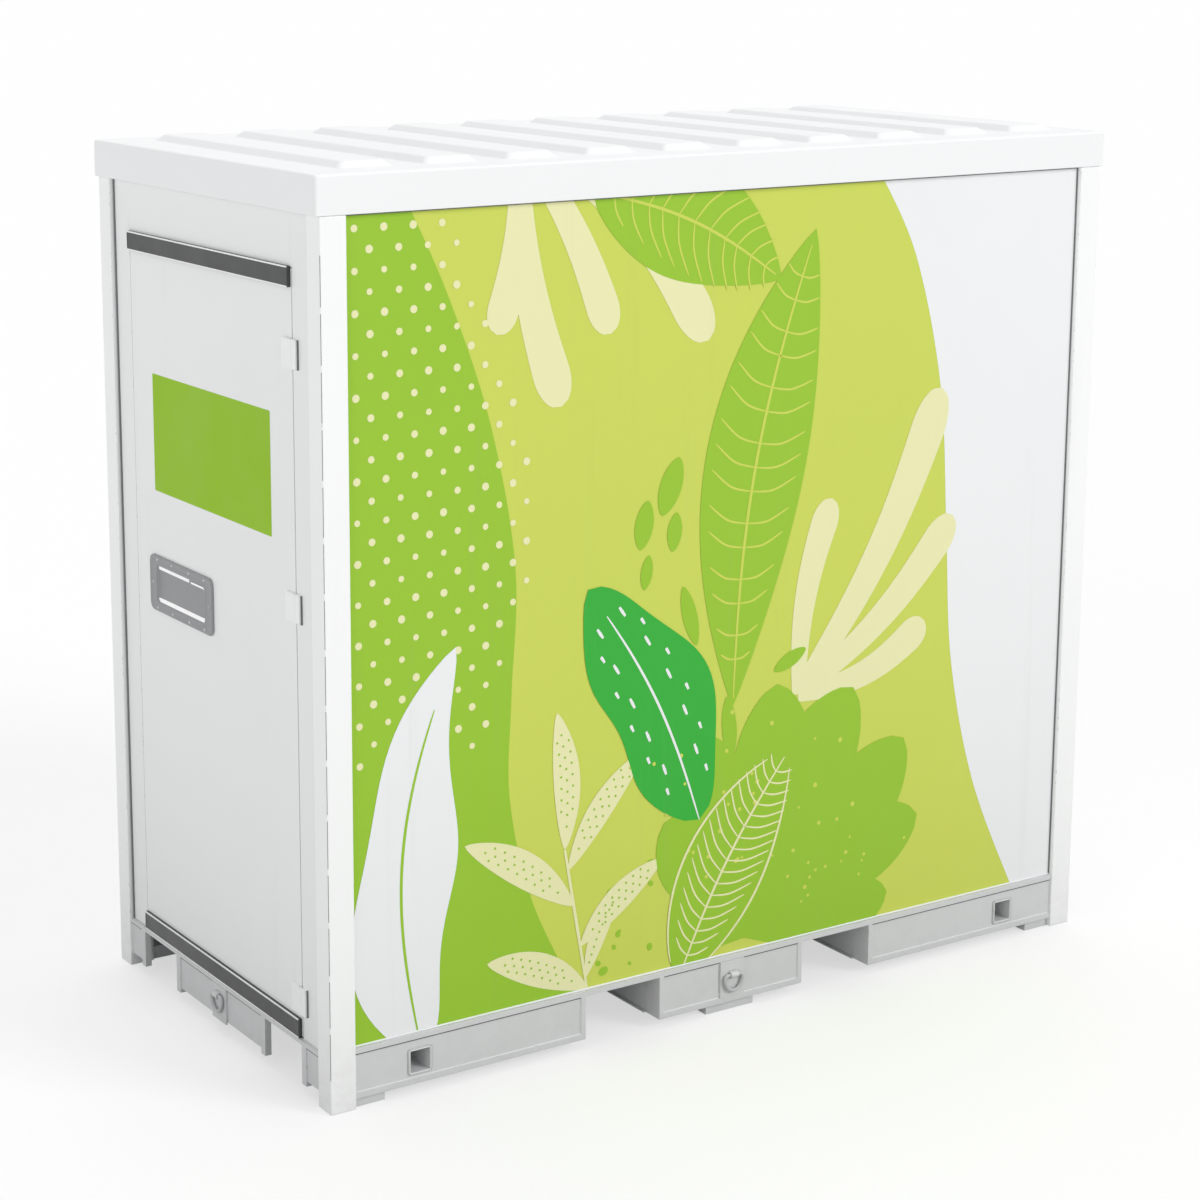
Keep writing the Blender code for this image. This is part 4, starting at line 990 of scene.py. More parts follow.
def roof():
    """The cap as one pressed sheet: a hemmed skirt, a rolled edge and ten raised ribs."""
    made = bmesh.new()
    (x0, x1), (y0, y1), (z0, z1) = (span("roof_cap", axis) for axis in range(3))
    half = ((x1 - x0) / 2, (y1 - y0) / 2)
    top = z1 - RIB_RISE
    edge = 0.007
    rings = [((0.0015, z0), 0.006), ((0.0, z0 + 0.0015), 0.006)]
    rings += [
        ((edge * (1 - math.cos(a)), top - edge * (1 - math.sin(a))), 0.006 + edge * 0.4)
        for a in (math.pi / 2 * i / 5 for i in range(6))
    ]
    rings.append(((0.030, top), 0.004))
    stepped(made, TOP, (0, 0), half, [(shrink, z, corner) for (shrink, z), corner in rings])
    first, last = x0 + RIB_FIRST, x1 - RIB_LAST
    for i in range(RIB_COUNT):
        centre = (first + (last - first) * i / (RIB_COUNT - 1), 0.0)
        profile = (
            (
                -0.004, -0.0010, 0.026
            ), (-0.004, 0.0001, 0.026), (-0.001, 0.0006, 0.026), (0.0015, 0.0024, 0.024),
            (
                0.0150, 0.0142, 0.022
            ), (0.0178, 0.0163, 0.021), (0.0210, 0.0176, 0.020), (0.0250, 0.0180, 0.019),
        )
        stepped(
            made,
            TOP,
            centre,
            RIB_HALF,
            [(shrink, top + rise, corner) for shrink, rise, corner in profile],
            7,
        )
    finished("roof_cap_skin", made, "cap", "enclosure", ("roof_cap",), sharp=50)

    # Hem of the skirt and the lap joint at each corner.
    trim = bmesh.new()
    long_side, end = (half[0], half[1]), (half[1], half[0])
    for side, (reach, out) in ((FRONT, long_side), (REAR, long_side), (DOOR_END, end), (FAR_END, end)):
        rod(
            trim,
            [side((t * (reach - 0.006), z0 + 0.0022, out - 0.0022)) for t in (-1, -0.5, 0, 0.5, 1)],
            0.0021,
            8,
        )
    for sx in (-1, 1):
        for sy in (-1, 1):
            lap = Side((1, 0, 0), (0, 0, 1), (0, sy, 0)).at(sx * (half[0] - 0.028), 0.0, 0.0)
            size = (0.0185, (top - z0) / 2 - 0.010)
            soft_block(
                trim, lap, (0.0, (z0 + top) / 2), size, (half[1] - 0.0015, half[1] - 0.0002), 0.0003, 0.002
            )
    finished("roof_hem", trim, "cap", "enclosure")


RIB_COUNT = 10
RIB_RISE = 0.018
RIB_FIRST, RIB_LAST = 0.2175, 0.1835  # from the door end and from the far end to the nearest rib
RIB_HALF = (0.0815, 0.550)
roof()


# ---------------------------------------------------------------- walls
def straight(start, end):
    """A straight line's two ends and its middle, as (right, up) points."""
    return [(start[0] + (end[0] - start[0]) * t, start[1] + (end[1] - start[1]) * t) for t in (0, 0.5, 1)]


def wall_corner_beads():
    """Beads in the corner between each wall and its posts, sill and cap: dark beside the posts and under the
    cap, a painted shade of these corners, and pale along the sill.
    """
    made, pale = bmesh.new(), bmesh.new()
    radius, inset = 0.0024, 0.0020
    for side, node, across, out in (
        (FRONT, "wall_front", 0, 1), (REAR, "wall_rear", 0, 1), (FAR_END, "wall_far_end", 1, 0),
    ):
        reach = span(node, across)[1] - inset
        low, high = span(node, 2)
        face = max(abs(v) for v in span(node, out)) + 0.0008
        foot, head = low + inset, high - inset
        for target, start, end in (
            (made, (-reach, foot), (-reach, head)), (made, (reach, foot), (reach, head)),
            (pale, (-reach, foot), (reach, foot)), (made, (-reach, head), (reach, head)),
        ):
            rod(target, [side((*point, face)) for point in straight(start, end)], radius, 8)
    # The dark beads are painted shade in the corners beside the posts and under the cap.
    finished("wall_corner_painted_shade", made, "gasket", "enclosure")
    finished("wall_foot_beads", pale, "wall", "enclosure")


STRIP = 0.0018  # thickness of the strips over the joints of a wall


def rivet(made, side, centre, radius=0.0042, height=0.0018, steps=12):
    screw(made, side, centre, radius, height, drive=0, steps=steps)


def cover_strips():
    """Joint covers of the plain walls, with their rivets."""
    made, rivets = bmesh.new(), bmesh.new()
    low, high = span("wall_rear", 2)
    face = span("wall_rear", 1)[1]
    for x in (-0.42, 0.42):
        size = (0.022, (high - low) / 2 - 0.010)
        soft_block(made, REAR, (x, (low + high) / 2), size, (face - 0.0005, face + STRIP), 0.0009, 0.003)
        for k in range(12):
            z = low + 0.06 + (high - low - 0.12) * k / 11
            rivet(rivets, REAR, (x, z, face + STRIP - 0.0002))
    finished("rear_wall_joint_covers", made, "wall", "enclosure")
    finished("rear_wall_rivets", rivets, "steel", "enclosure")


def corner_seam():
    """The stitch-welded and sealed seam along the outer corner of the post beside the hinges."""
    seams = bmesh.new()
    (x, _), (y, _), (low, high) = (span("corner_post_front_door", axis) for axis in range(3))
    stitch, pitch, sunk = 0.130, 0.148, 0.0007
    z = low + 0.10
    while z < high - 0.12:
        rod(seams, [(x + sunk, y + sunk, z + t * stitch) for t in (0, 0.5, 1)], 0.0008, 8)
        z += pitch
    finished("post_corner_seam", seams, "gasket", "enclosure")


wall_corner_beads()
cover_strips()
corner_seam()
for node, slot in (
    ("wall_front", "white_paint"), ("wall_rear", "pale_paint"), ("wall_far_end", "pale_paint")
):
    soften(node, 0.0008, "wall")


# ---------------------------------------------------------------- door
LEAF_FACE = -span("door_leaf", 0)[0]
soften("door_leaf", 0.0016, "door")


def door_bars():
    """The dark bars along the top and bottom of the door, each with two white strips along its edges, a
    painted highlight of the edges.
    """
    for node in ("door_bar_top", "door_bar_bottom"):
        made = bmesh.new()
        (y0, y1), (z0, z1) = span(node, 1), span(node, 2)
        back, front = -span(node, 0)[1], -span(node, 0)[0]
        centre, half = (-(y0 + y1) / 2, (z0 + z1) / 2), ((y1 - y0) / 2, (z1 - z0) / 2)
        profile = (
            (0.0, back, 0.003), (0.0, front - 0.0030, 0.003), (0.0009, front - 0.0010, 0.003),
            (0.0030, front, 0.003), (0.0060, front, 0.002), (0.0075, front - 0.0008, 0.002),
        )
        stepped(made, DOOR_END, centre, half, profile, 4)
        finished(f"{node}_skin", made, "bar", "door", (node,))
        # White strips along the upper and lower edges of the bar: a painted highlight.
        painted_edge_highlights = bmesh.new()
        for v in (half[1] - 0.0022, -half[1] + 0.0022):
            size, out = (half[0] - 0.0030, 0.0020), (front - 0.0022, front + 0.0006)
            soft_block(painted_edge_highlights, DOOR_END, (centre[0], centre[1] + v), size, out, 0.0008, 0.0012)
        finished(f"{node}_lips", painted_edge_highlights, "hinge", "door")


def handle():
    """The recessed grip: a pressed flange, a rolled mouth, sloping walls and the pad at the bottom."""
    centre = (-middle("grip_pan", 1), middle("grip_pan", 2))
    half = (half_size("grip_pan", 1), half_size("grip_pan", 2))
    front = -span("grip_pan", 0)[0]
    pad = (half_size("push_pad", 1), PAD_HALF_HEIGHT)
    floor = front - 0.015
    mouth = (pad[0] + 0.0148, pad[1] + 0.0148)
    corner = 0.022
    flange = (
        (0.0, 0.0078), (0.0, 0.0034), (0.0006, 0.0016), (0.0020, 0.0005),
        (0.0042, 0.0001), (0.0090, 0.0004), (0.0115, 0.0014), (0.0150, 0.0018),
    )
    lip = (
        (-0.0110, 0.0018, 0.020), (-0.0078, 0.0012, 0.019), (-0.0052, 0.0001, 0.018),
        (-0.0026, 0.0001, 0.017), (-0.0004, 0.0010, 0.016), (0.0016, 0.0030, 0.015),
    )
    foot = (
        (0.0118, 0.0026, 0.010),
        (0.0134, 0.0010, 0.009),
        (0.0139, -0.0010, 0.008),
        (0.0140, -0.0200, 0.006),
    )
    rings = [(half, shrink, corner, front - depth) for shrink, depth in flange]
    rings += [(mouth, shrink, round_, front - depth) for shrink, depth, round_ in lip]
    rings += [(mouth, shrink, round_, floor + rise) for shrink, rise, round_ in foot]
    made = bmesh.new()
    loft(
        made,
        [
            flat_ring(DOOR_END, centre, (size[0] - shrink, size[1] - shrink), round_, out, 8)
            for size, shrink, round_, out in rings
        ],
    )
    finished("grip_pan_skin", made, "pan", "door", ("grip_pan",), sharp=60)
    rivets = bmesh.new()
    line = (0.1790, 0.0710)
    places = [(line[0] * s, line[1] * t) for s in (-0.84, -0.30, 0.30, 0.84) for t in (-1, 1)]
    for u, v in (*places, (-line[0], 0.0), (line[0], 0.0)):
        rivet(rivets, DOOR_END, (centre[0] + u, centre[1] + v, front - 0.0018), 0.0044, 0.0020, 16)
    finished("grip_pan_rivets", rivets, "steel", "door")

    made = bmesh.new()
    out = -span("push_pad", 0)[0] if -span("push_pad", 0)[0] > floor - 0.001 else floor
    profile = (
        (0.0, out - 0.0030, 0.007), (0.0, out - 0.0009, 0.007), (
            0.0006, out - 0.0002, 0.007
        ), (0.0018, out, 0.007),
        (0.0075, out, 0.006), (0.0100, out - 0.0009, 0.006), (0.0125, out - 0.0012, 0.006),
    )
    stepped(made, DOOR_END, centre, pad, profile)
    finished("push_pad_skin", made, "pan", "pad", ("push_pad",), sharp=50)

    # Polished beads that stiffen the upper and lower walls of the recess and the corner of the pad.
    beads, pad_bead = bmesh.new(), bmesh.new()
    inner = (mouth[0] - 0.002, mouth[1] - 0.0062)
    wall = DOOR_END.at(*DOOR_END((*centre, 0.0)))
    for left, right, v, thick in (
        (-0.146, 0.050, inner[1] - 0.0010, 0.0064),
        (0.060, 0.140, inner[1] - 0.0040, 0.0036),
        (-0.150, 0.146, 0.0020 - inner[1], 0.0074),
    ):
        size, depth = ((right - left) / 2, thick), (floor - 0.001, front - 0.0042)
        soft_block(beads, wall, ((left + right) / 2, v), size, depth, 0.0022, 0.0034)
    for sign in (-1, 1):
        line = ((0.136, inner[1] - 0.004), (0.1485, inner[1] - 0.007), (0.1500, inner[1] - 0.020))
        rod(beads, [wall((u, sign * v, front - 0.0066)) for u, v in line], 0.0026, 10)
    line = ((0.062, -0.020), (0.095, -0.023), (0.126, -0.026))
    rod(pad_bead, [wall((u, v, out - 0.0014)) for u, v in line], 0.0030, 10)
    finished("grip_pan_beads", beads, "chrome", "door", sharp=60)
    finished("push_pad_bead", pad_bead, "chrome", "pad")


def hinges():
    """Door halves as thick leaves, and the blocks that cover both halves up to the barrel."""
    frame_covers, shade_strips = bmesh.new(), bmesh.new()
    for name in ("top", "middle", "bottom"):
        node = f"hinge_{name}"
        soften(node, 0.0012, "hinge", segments=2, limit=50)
        z, half = middle(node, 2), half_size(node, 2) + 0.0005
        door_cover = bmesh.new()
        for made, (low, high) in ((door_cover, DOOR_COVER), (frame_covers, FRAME_COVER)):
            centre, size = (HINGE_AXIS + (low + high) / 2, z), ((high - low) / 2, half)
            soft_block(
                made, DOOR_END, centre, size, (LEAF_FACE + 0.0004, HINGE_FRONT), 0.0026, 0.0060, steps=4
            )
        barrel = ((0.0048, half), (PIN_RADIUS, half - 0.0012))
        profile = [(radius, z - up) for radius, up in barrel] + [
            (radius, z + up) for radius, up in barrel[::-1]
        ]
        pin(door_cover, TOP, (-PIN_X, -HINGE_AXIS), profile, 28)
        finished(f"{node}_cover", door_cover, "hinge", "door")
        # A dark strip beside each hinge's frame cover: painted shade, standing for the shadow along the
        # cover's side.
        depth = (LEAF_FACE + 0.0002, HINGE_FRONT - 0.0049)
        soft_block(
            shade_strips, DOOR_END, (HINGE_AXIS + 0.0316, z - 0.0004), (0.0020, half), depth, 0.0008, 0.0020
        )
    finished("hinge_frame_covers", frame_covers, "hinge", "enclosure")
    finished("hinge_frame_painted_shade", shade_strips, "gasket", "enclosure")


HINGE_AXIS, PIN_X = 0.4865, 1.3265  # where the door's hinge turns, seen from the door end
PIN_RADIUS = 0.0058
HINGE_FRONT = 1.3308
DOOR_COVER, FRAME_COVER = (-0.0466, 0.0034), (0.0068, 0.0314)  # from the hinge axis, away from the door
PAD_HALF_HEIGHT = 0.041
LABEL_U, LABEL_Z = (-0.3665, 0.3535), (1.520, 1.860)


def door_label():
    middle_u, middle_z = sum(LABEL_U) / 2, sum(LABEL_Z) / 2
    outline = rounded((LABEL_U[1] - LABEL_U[0]) / 2, (LABEL_Z[1] - LABEL_Z[0]) / 2, 0.004, 3)
    film(
        "door_label", "9BC92B", 0, [[(middle_u + x, middle_z + z) for x, z in outline]],
        side=DOOR_END, face=LEAF_FACE, body="door",
    )


door_bars()
handle()
hinges()
door_label()


# ---------------------------------------------------------------- lashing rings
PLATE_PROUD = 0.002
WEB_RECESS = 0.004
RING_ROD, RING_WIDTH, RING_DROP, RING_Z = 0.0055, 0.073, 0.048, 0.113
# Each ring's side, and the axis that points out of it.
RING_SIDES = {"front": (FRONT, 1), "rear": (REAR, 1), "door": (DOOR_END, 0), "far": (FAR_END, 0)}


def ring_path():
    """The middle line of a D-ring, from its hinge bar down, as (right, up) from the bar's middle."""
    half, corner = RING_WIDTH / 2 - RING_ROD, 2 * RING_ROD
    path = [(-half + corner, 0.0), (0.0, 0.0), (half - corner, 0.0)]
    for i in range(1, 7):
        a = math.pi / 2 * (1 - i / 6)
        path.append((half - corner + corner * math.cos(a), -corner + corner * math.sin(a)))
    for i in range(1, 30):
        a = math.pi * i / 30
        path.append((half * math.cos(a), -corner - (RING_DROP - corner) * math.sin(a)))
    for i in range(6):
        a = math.pi / 2 * (1 + (6 - i) / 6)
        path.append((-half + corner + corner * math.cos(a), -corner + corner * math.sin(a)))
    return path


def lashing_rings():
    """The rings as bent rods, and the welds of their brackets."""
    for name, (side, out_axis) in RING_SIDES.items():
        node = f"lashing_ring_{name}"
        out = max(abs(v) for v in span(node, out_axis)) - RING_ROD
        made = bmesh.new()
        rod(made, [side((x, RING_Z + z, out)) for x, z in ring_path()], RING_ROD * 0.999, 16, close=True)
        finished(f"{node}_bar", made, "ring", f"ring_{name}", (node,))

        bracket = f"ring_bracket_{name}"
        soften(bracket, 0.0010, "skid", segments=3, limit=40)
        beads = bmesh.new()
        face = out - 0.009 + PLATE_PROUD
        low, high = span(bracket, 2)
        edge = half_size(bracket, 1 - out_axis) + 0.001
        seam, eye = face - PLATE_PROUD - WEB_RECESS + 0.0008, side.at(*side((0.0, RING_Z, face + 0.0002)))
        for s in (-1, 1):
            weld(beads, eye((s * 0.0155, -0.0095, 0.0)), eye((s * 0.0155, 0.0095, 0.0)), 0.0016)
            weld(beads, eye((-0.014, s * 0.0112, 0.0)), eye((0.014, s * 0.0112, 0.0)), 0.0016)
            weld(beads, side((s * edge, low + 0.012, seam)), side((s * edge, high - 0.004, seam)), 0.0022)
        finished(f"{bracket}_welds", beads, "weld", "enclosure")


lashing_rings()


# ---------------------------------------------------------------- skid details
def socket_details():
    """A weld round each lifting socket and the rolled rim of its mouth, the rim painted lighter than the skid
    as a painted highlight.
    """
    welds, rims = bmesh.new(), bmesh.new()
    corners = ((-1, -1), (1, -1), (1, 1), (-1, 1))
    for end in ("door", "far"):
        for side_name, side, x_dir in (("front", FRONT, 1), ("rear", REAR, -1)):
            node = f"lifting_socket_{side_name}_{end}"
            x, z, half = middle(node, 0) * x_dir, middle(node, 2), half_size(node, 0)
            mouth = max(abs(v) for v in span(node, 1))
            reach, out = half + 0.0012, mouth - SOCKET_PROUD + 0.0012
            places = [side((x + u * reach, z + v * reach, out)) for u, v in corners]
            for start, stop in zip(places, places[1:] + places[:1]):
                weld(welds, start, stop, 0.0028)
            # The rim is painted lighter than the skid: a painted highlight.
            rim = half - 0.0018
            ring = [side((x + u, z + v, mouth - 0.0016)) for u, v in rounded(rim, rim, 0.006, 5)]
            rod(rims, ring, 0.0021, 8, close=True)
    finished("socket_welds", welds, "weld", "enclosure")
    finished("socket_rims", rims, "rim", "enclosure")


def rail_details():
    """A dark strip in the slit under each lip, a painted shade of the slit, and the fillet round each
    recessed panel of the rails, painted lighter than the skid as a painted highlight.
    """
    slit_shade_strips, fillets = bmesh.new(), bmesh.new()
    side_rail, end_rail = (SIDE_LIP_BOTTOM, SIDE_FACE, SIDE_RUNS), (END_LIP_BOTTOM, END_FACE, END_RUNS)
    for side, (lip, face, runs) in (
        (FRONT, side_rail), (REAR, side_rail), (DOOR_END, end_rail), (FAR_END, end_rail)
    ):
        web = face - WEB_RECESS
        for a, b in runs:
            centre, size = ((a + b) / 2, lip - SLIT / 2), ((b - a) / 2, SLIT / 2)
            # A dark strip filling the slit: painted shade.
            soft_block(slit_shade_strips, side, centre, size, (web, face - 0.0012), 0.0004, 0.0008)
            if runs is SIDE_RUNS:
                foot, top = PANEL_BOTTOM, lip - 0.003
                for start, end in (
                    ((a, foot + 0.0006), (b, foot + 0.0006)), ((a, foot), (a, top)), ((b, foot), (b, top))
                ):
                    line = straight(start, end)
                    rod(fillets, [side((*point, web + 0.0004)) for point in line], 0.0017, 8)
    finished("rail_slit_painted_shade", slit_shade_strips, "slit", "enclosure")
    # The fillets are painted lighter than the skid: a painted highlight.
    finished("rail_fillets", fillets, "rim", "enclosure")


SOCKET_PROUD = 0.0035
SIDE_FACE, END_FACE = 0.6625, 1.332
SIDE_LIP_BOTTOM, END_LIP_BOTTOM = 0.155, 0.1392
PANEL_BOTTOM = 0.045
SLIT = 0.0026
# The stretches of rail between posts, fork pockets and ring brackets.
SIDE_RUNS = ((-1.2560, -0.5310), (-0.2430, -0.0445), (0.0445, 0.2430), (0.5310, 1.2560))
END_RUNS = ((-0.5940, -0.5220), (-0.2560, -0.0445), (0.0445, 0.2560), (0.5220, 0.5940))
socket_details()
rail_details()


def door_frame_details():
    """Dark strips in the corner between the frame of the door and the posts: painted shade of the posts on
    the frame.
    """
    made = bmesh.new()
    low, high = span("end_rail_door", 2)[1], span("door_header", 2)[1]
    face = -span("door_jamb_lock", 0)[0]
    centre_z, size = (low + high) / 2, (0.0028, (high - low) / 2 - 0.001)
    for y in (span("corner_post_rear_door", 1)[0] - 0.0045, span("corner_post_front_door", 1)[1] + 0.0045):
        # A dark strip beside each post: painted shade.
        soft_block(made, DOOR_END, (-y, centre_z), size, (face - 0.0004, face + 0.0040), 0.0012, 0.0014)
    finished("door_frame_painted_shade", made, "gasket", "enclosure")


door_frame_details()


# ---------------------------------------------------------------- inside: transformer
COVER_TOP = 1.1603
TANK_MIDDLE = 0.640
TANK_FACE = -0.165  # towards the door
HV_TOP = span("high_voltage_bushings", 2)[1]
LV_TOP = span("low_voltage_bushings", 2)[1]


def tank_fittings():
    """Bolts and seal of the cover, and the drain valve, thermometer and oil gauge on the tank's door side."""
    bolts, fittings, gasket = bmesh.new(), bmesh.new(), bmesh.new()
    for k in range(15):
        for y in (-0.261, 0.261):
            hexagon(bolts, TOP, (TANK_MIDDLE - 0.462 + k * 0.066, y, COVER_TOP), 0.0165, 0.007)
    for k in range(7):
        for x in (-0.486, 0.486):
            hexagon(bolts, TOP, (TANK_MIDDLE + x, -0.195 + k * 0.065, COVER_TOP), 0.0165, 0.007)
    finished("tank_cover_bolts", bolts, "galvanised", "enclosure")
    ring = [TOP((TANK_MIDDLE + x, y, 1.1485)) for x, y in rounded(0.4775, 0.2525, 0.008, 4)]
    rod(gasket, ring, 0.0022, 8, close=True)
    finished("tank_cover_gasket", gasket, "gasket", "enclosure")
    tank = DOOR_END.at(*DOOR_END((0.0, 0.0, TANK_FACE)))
    valve, dial, gauge = (0.0, 0.300), (-0.150, 0.980), (0.150, 0.960)
    pin(
        fittings, tank, valve,
        [
            (0.030, 0),
            (0.030, 0.010),
            (0.017, 0.012),
            (0.017, 0.040),
            (0.022, 0.042),
            (0.022, 0.056),
            (0.020, 0.058),
        ],
    )
    pin(
        fittings, tank, dial,
        [(0.040, 0), (0.042, 0.004), (0.042, 0.020), (0.039, 0.024), (0.034, 0.022), (0.033, 0.019)], 32,
    )
    soft_block(fittings, tank, gauge, (0.016, 0.078), (0.0, 0.014), 0.003, 0.008)
    hexagon(fittings, tank, (*valve, 0.058), 0.022, 0.009, washer=False)
    finished("tank_fittings", fittings, "steel", "enclosure")
    glass = bmesh.new()
    soft_block(glass, tank, gauge, (0.006, 0.060), (0.0136, 0.0160), 0.0012, 0.004)
    pin(glass, tank, dial, [(0.0325, 0.018), (0.0325, 0.0205), (0.031, 0.0213)], 32)
    finished("tank_gauge_glasses", glass, "resin", "enclosure")


def terminals_and_cables():
    """Three cables to the switchgear, four to the board, their ends, the cleats and the earth cable."""
    caps, high, low, lugs = bmesh.new(), bmesh.new(), bmesh.new(), bmesh.new()
    for i in range(3):
        x, y = TANK_MIDDLE + (i - 1) * 0.180, -0.100
        profile = ((0.024, -0.030), (0.026, -0.026), (0.026, 0.050), (0.021, 0.058), (0.0175, 0.080))
        pin(caps, TOP, (x, y), [(radius, HV_TOP + up) for radius, up in profile])
        level, turn = 1.780 + 0.052 * i, 0.320 - 0.060 * i
        end = -0.360 - 0.120 * i
        route = [
            (x, y, HV_TOP + 0.060), (x, y, level - 0.110), (
                x - 0.030, y, level - 0.030
            ), (x - 0.110, y, level),
            (turn + 0.060, y, level), (turn, y + 0.060, level), (turn, 0.280, level), (
                turn - 0.070, 0.360, level
            ),
            (end + 0.100, 0.400, level), (end + 0.020, 0.405, level - 0.040), (end, 0.405, level - 0.110),
            (end, 0.405, 1.5520),
        ]
        swept(high, route, 0.0155)
        pin(
            caps, TOP, (end, 0.405),
            [
                (0.036, 1.5497),
                (0.036, 1.5580),
                (0.025, 1.5600),
                (0.025, 1.5950),
                (0.0195, 1.6050),
                (0.0170, 1.6250),
            ],
        )
    for i in range(4):
        x, y = TANK_MIDDLE + (i - 1.5) * 0.110, 0.150
        soft_block(lugs, TOP, (x, y), (0.013, 0.024), (LV_TOP - 0.004, LV_TOP + 0.004), 0.001, 0.004)
        hexagon(lugs, TOP, (x, y - 0.006, LV_TOP + 0.004), 0.0165, 0.008)
        level = 2.060 + 0.048 * i
        start, end = y + 0.016, -0.560 - 0.075 * i
        route = [
            (x, start, LV_TOP + 0.004), (x, start, LV_TOP + 0.140), (x, start, level - 0.110),
            (x, start - 0.030, level - 0.028), (x, start - 0.110, level), (x, -0.380, level),
            (x - 0.030, -0.462, level), (x - 0.110, -0.492, level), (end + 0.110, -0.492, level),
            (end + 0.028, -0.492, level - 0.030), (end, -0.492, level - 0.110), (end, -0.492, 1.6520),
        ]
        swept(low, route, 0.0140)
        pin(
            caps, TOP, (end, -0.492),
            [
                (0.026, 1.6497),
                (0.027, 1.6520),
                (0.027, 1.6610),
                (0.021, 1.6640),
                (0.021, 1.6860),
                (0.0155, 1.6920),
            ], 24,
        )
    finished("cable_terminations", caps, "black", "enclosure")
    finished("high_voltage_cables", high, "cable_red", "enclosure")
    finished("low_voltage_cables", low, "black", "enclosure")
    finished("terminal_lugs", lugs, "copper", "enclosure")
    cleats = bmesh.new()
    for x in (-0.05, -0.30):
        soft_block(
            cleats, FRONT, (x, 2.132), (0.020, 0.105), (0.4720, 0.6008), 0.003, 0.006, faces_back=True
        )
    finished("cable_cleats", cleats, "galvanised", "enclosure")
    earth = bmesh.new()
    route = [
        (0.170, -0.200, 0.262), (0.120, -0.230, 0.240), (0.000, -0.430, 0.190), (-0.200, -0.560, 0.190),
        (-0.420, -0.580, 0.200), (-0.470, -0.578, 0.300), (-0.472, -0.5690, 0.480),
    ]
    swept(earth, route, 0.0060, 10)
    finished("earth_cable", earth, "cable_green", "enclosure")
    bolts = bmesh.new()
    bar_face = -0.5652
    for k in range(9):
        hexagon(bolts, REAR, (0.450 + 0.055 * k, 0.500, bar_face), 0.013, 0.006)
    finished("earth_bar_bolts", bolts, "steel", "enclosure")


LOOKS["cable_red"] = moulded("cable_red_sheath", "7A2A22", 0.45, grain=400.0, depth=0.06)
LOOKS["cable_green"] = moulded("cable_green_sheath", "4E7A34", 0.45, grain=400.0, depth=0.06)
tank_fittings()
terminals_and_cables()


# ---------------------------------------------------------------- inside: switchgear
def switchgear_details():
    """Cable compartment covers with vents and locks, test points, lamps, the lever's collar and a window."""
    low_face, panel = -0.2000, -0.2150
    lower, upper = (FRONT.at(*FRONT((0.0, 0.0, out))) for out in (low_face, panel))
    panels, trim, dark, windows = bmesh.new(), bmesh.new(), bmesh.new(), bmesh.new()
    for x in (-0.778, -0.382):
        soft_block(panels, lower, (x, 0.530), (0.192, 0.345), (-0.0004, 0.0035), 0.0012, 0.004)
        for z in (0.255, 0.805):
            soft_block(panels, lower, (x - 0.176, z), (0.009, 0.026), (0.003, 0.0105), 0.002, 0.004)
        screw(trim, lower, (x + 0.165, 0.530, 0.0033), 0.0130, 0.0050, drive=3, steps=24)
        for k in range(7):
            soft_block(
                dark, lower, (x, 0.255 + 0.022 * k), (0.110, 0.0042), (0.0030, 0.0046), 0.0006, 0.004
            )
    bezel = [(0.014, -0.0005), (0.014, 0.003), (0.0125, 0.0045), (0.0105, 0.0045), (0.0100, 0.003)]
    lamp = [(0.0098, 0.0), (0.0098, 0.003), (0.0085, 0.0062), (0.0045, 0.0078), (0.0010, 0.0081)]
    for x in (-0.690, -0.580, -0.470):
        pin(trim, lower, (x, 1.525), bezel, 24)
        pin(windows, lower, (x, 1.525), lamp, 24)
    collar = [(0.020, -0.0005), (0.020, 0.010), (0.018, 0.012), (0.009, 0.012), (0.008, 0.009)]
    pin(trim, upper, (-0.870, 1.150), collar, 24)
    test_point = [(0.0085, -0.0005), (0.0085, 0.004), (0.0070, 0.005), (0.0042, 0.005), (0.0038, 0.001)]
    for z in (1.400, 1.440, 0.960, 1.000):
        for x in (-0.895, -0.855):
            pin(dark, upper, (x, z), test_point, 16)
    ring = [upper((-0.295 + u, 1.150 + v, 0.0015)) for u, v in rounded(0.042, 0.062, 0.010, 6)]
    rod(dark, ring, 0.0036, 8, close=True)
    soft_block(windows, upper, (-0.295, 1.150), (0.040, 0.060), (-0.0005, 0.0014), 0.0006, 0.009)
    for x in (-0.905, -0.255):
        for z in (0.925, 1.475):
            screw(trim, upper, (x, z, -0.0004), 0.0070, 0.0034, drive=6)
    finished("switchgear_panels", panels, "cabinet", "enclosure")
    finished("switchgear_trim", trim, "steel", "enclosure")
    finished("switchgear_vents", dark, "black", "enclosure")
    finished("switchgear_windows", windows, "resin", "enclosure")


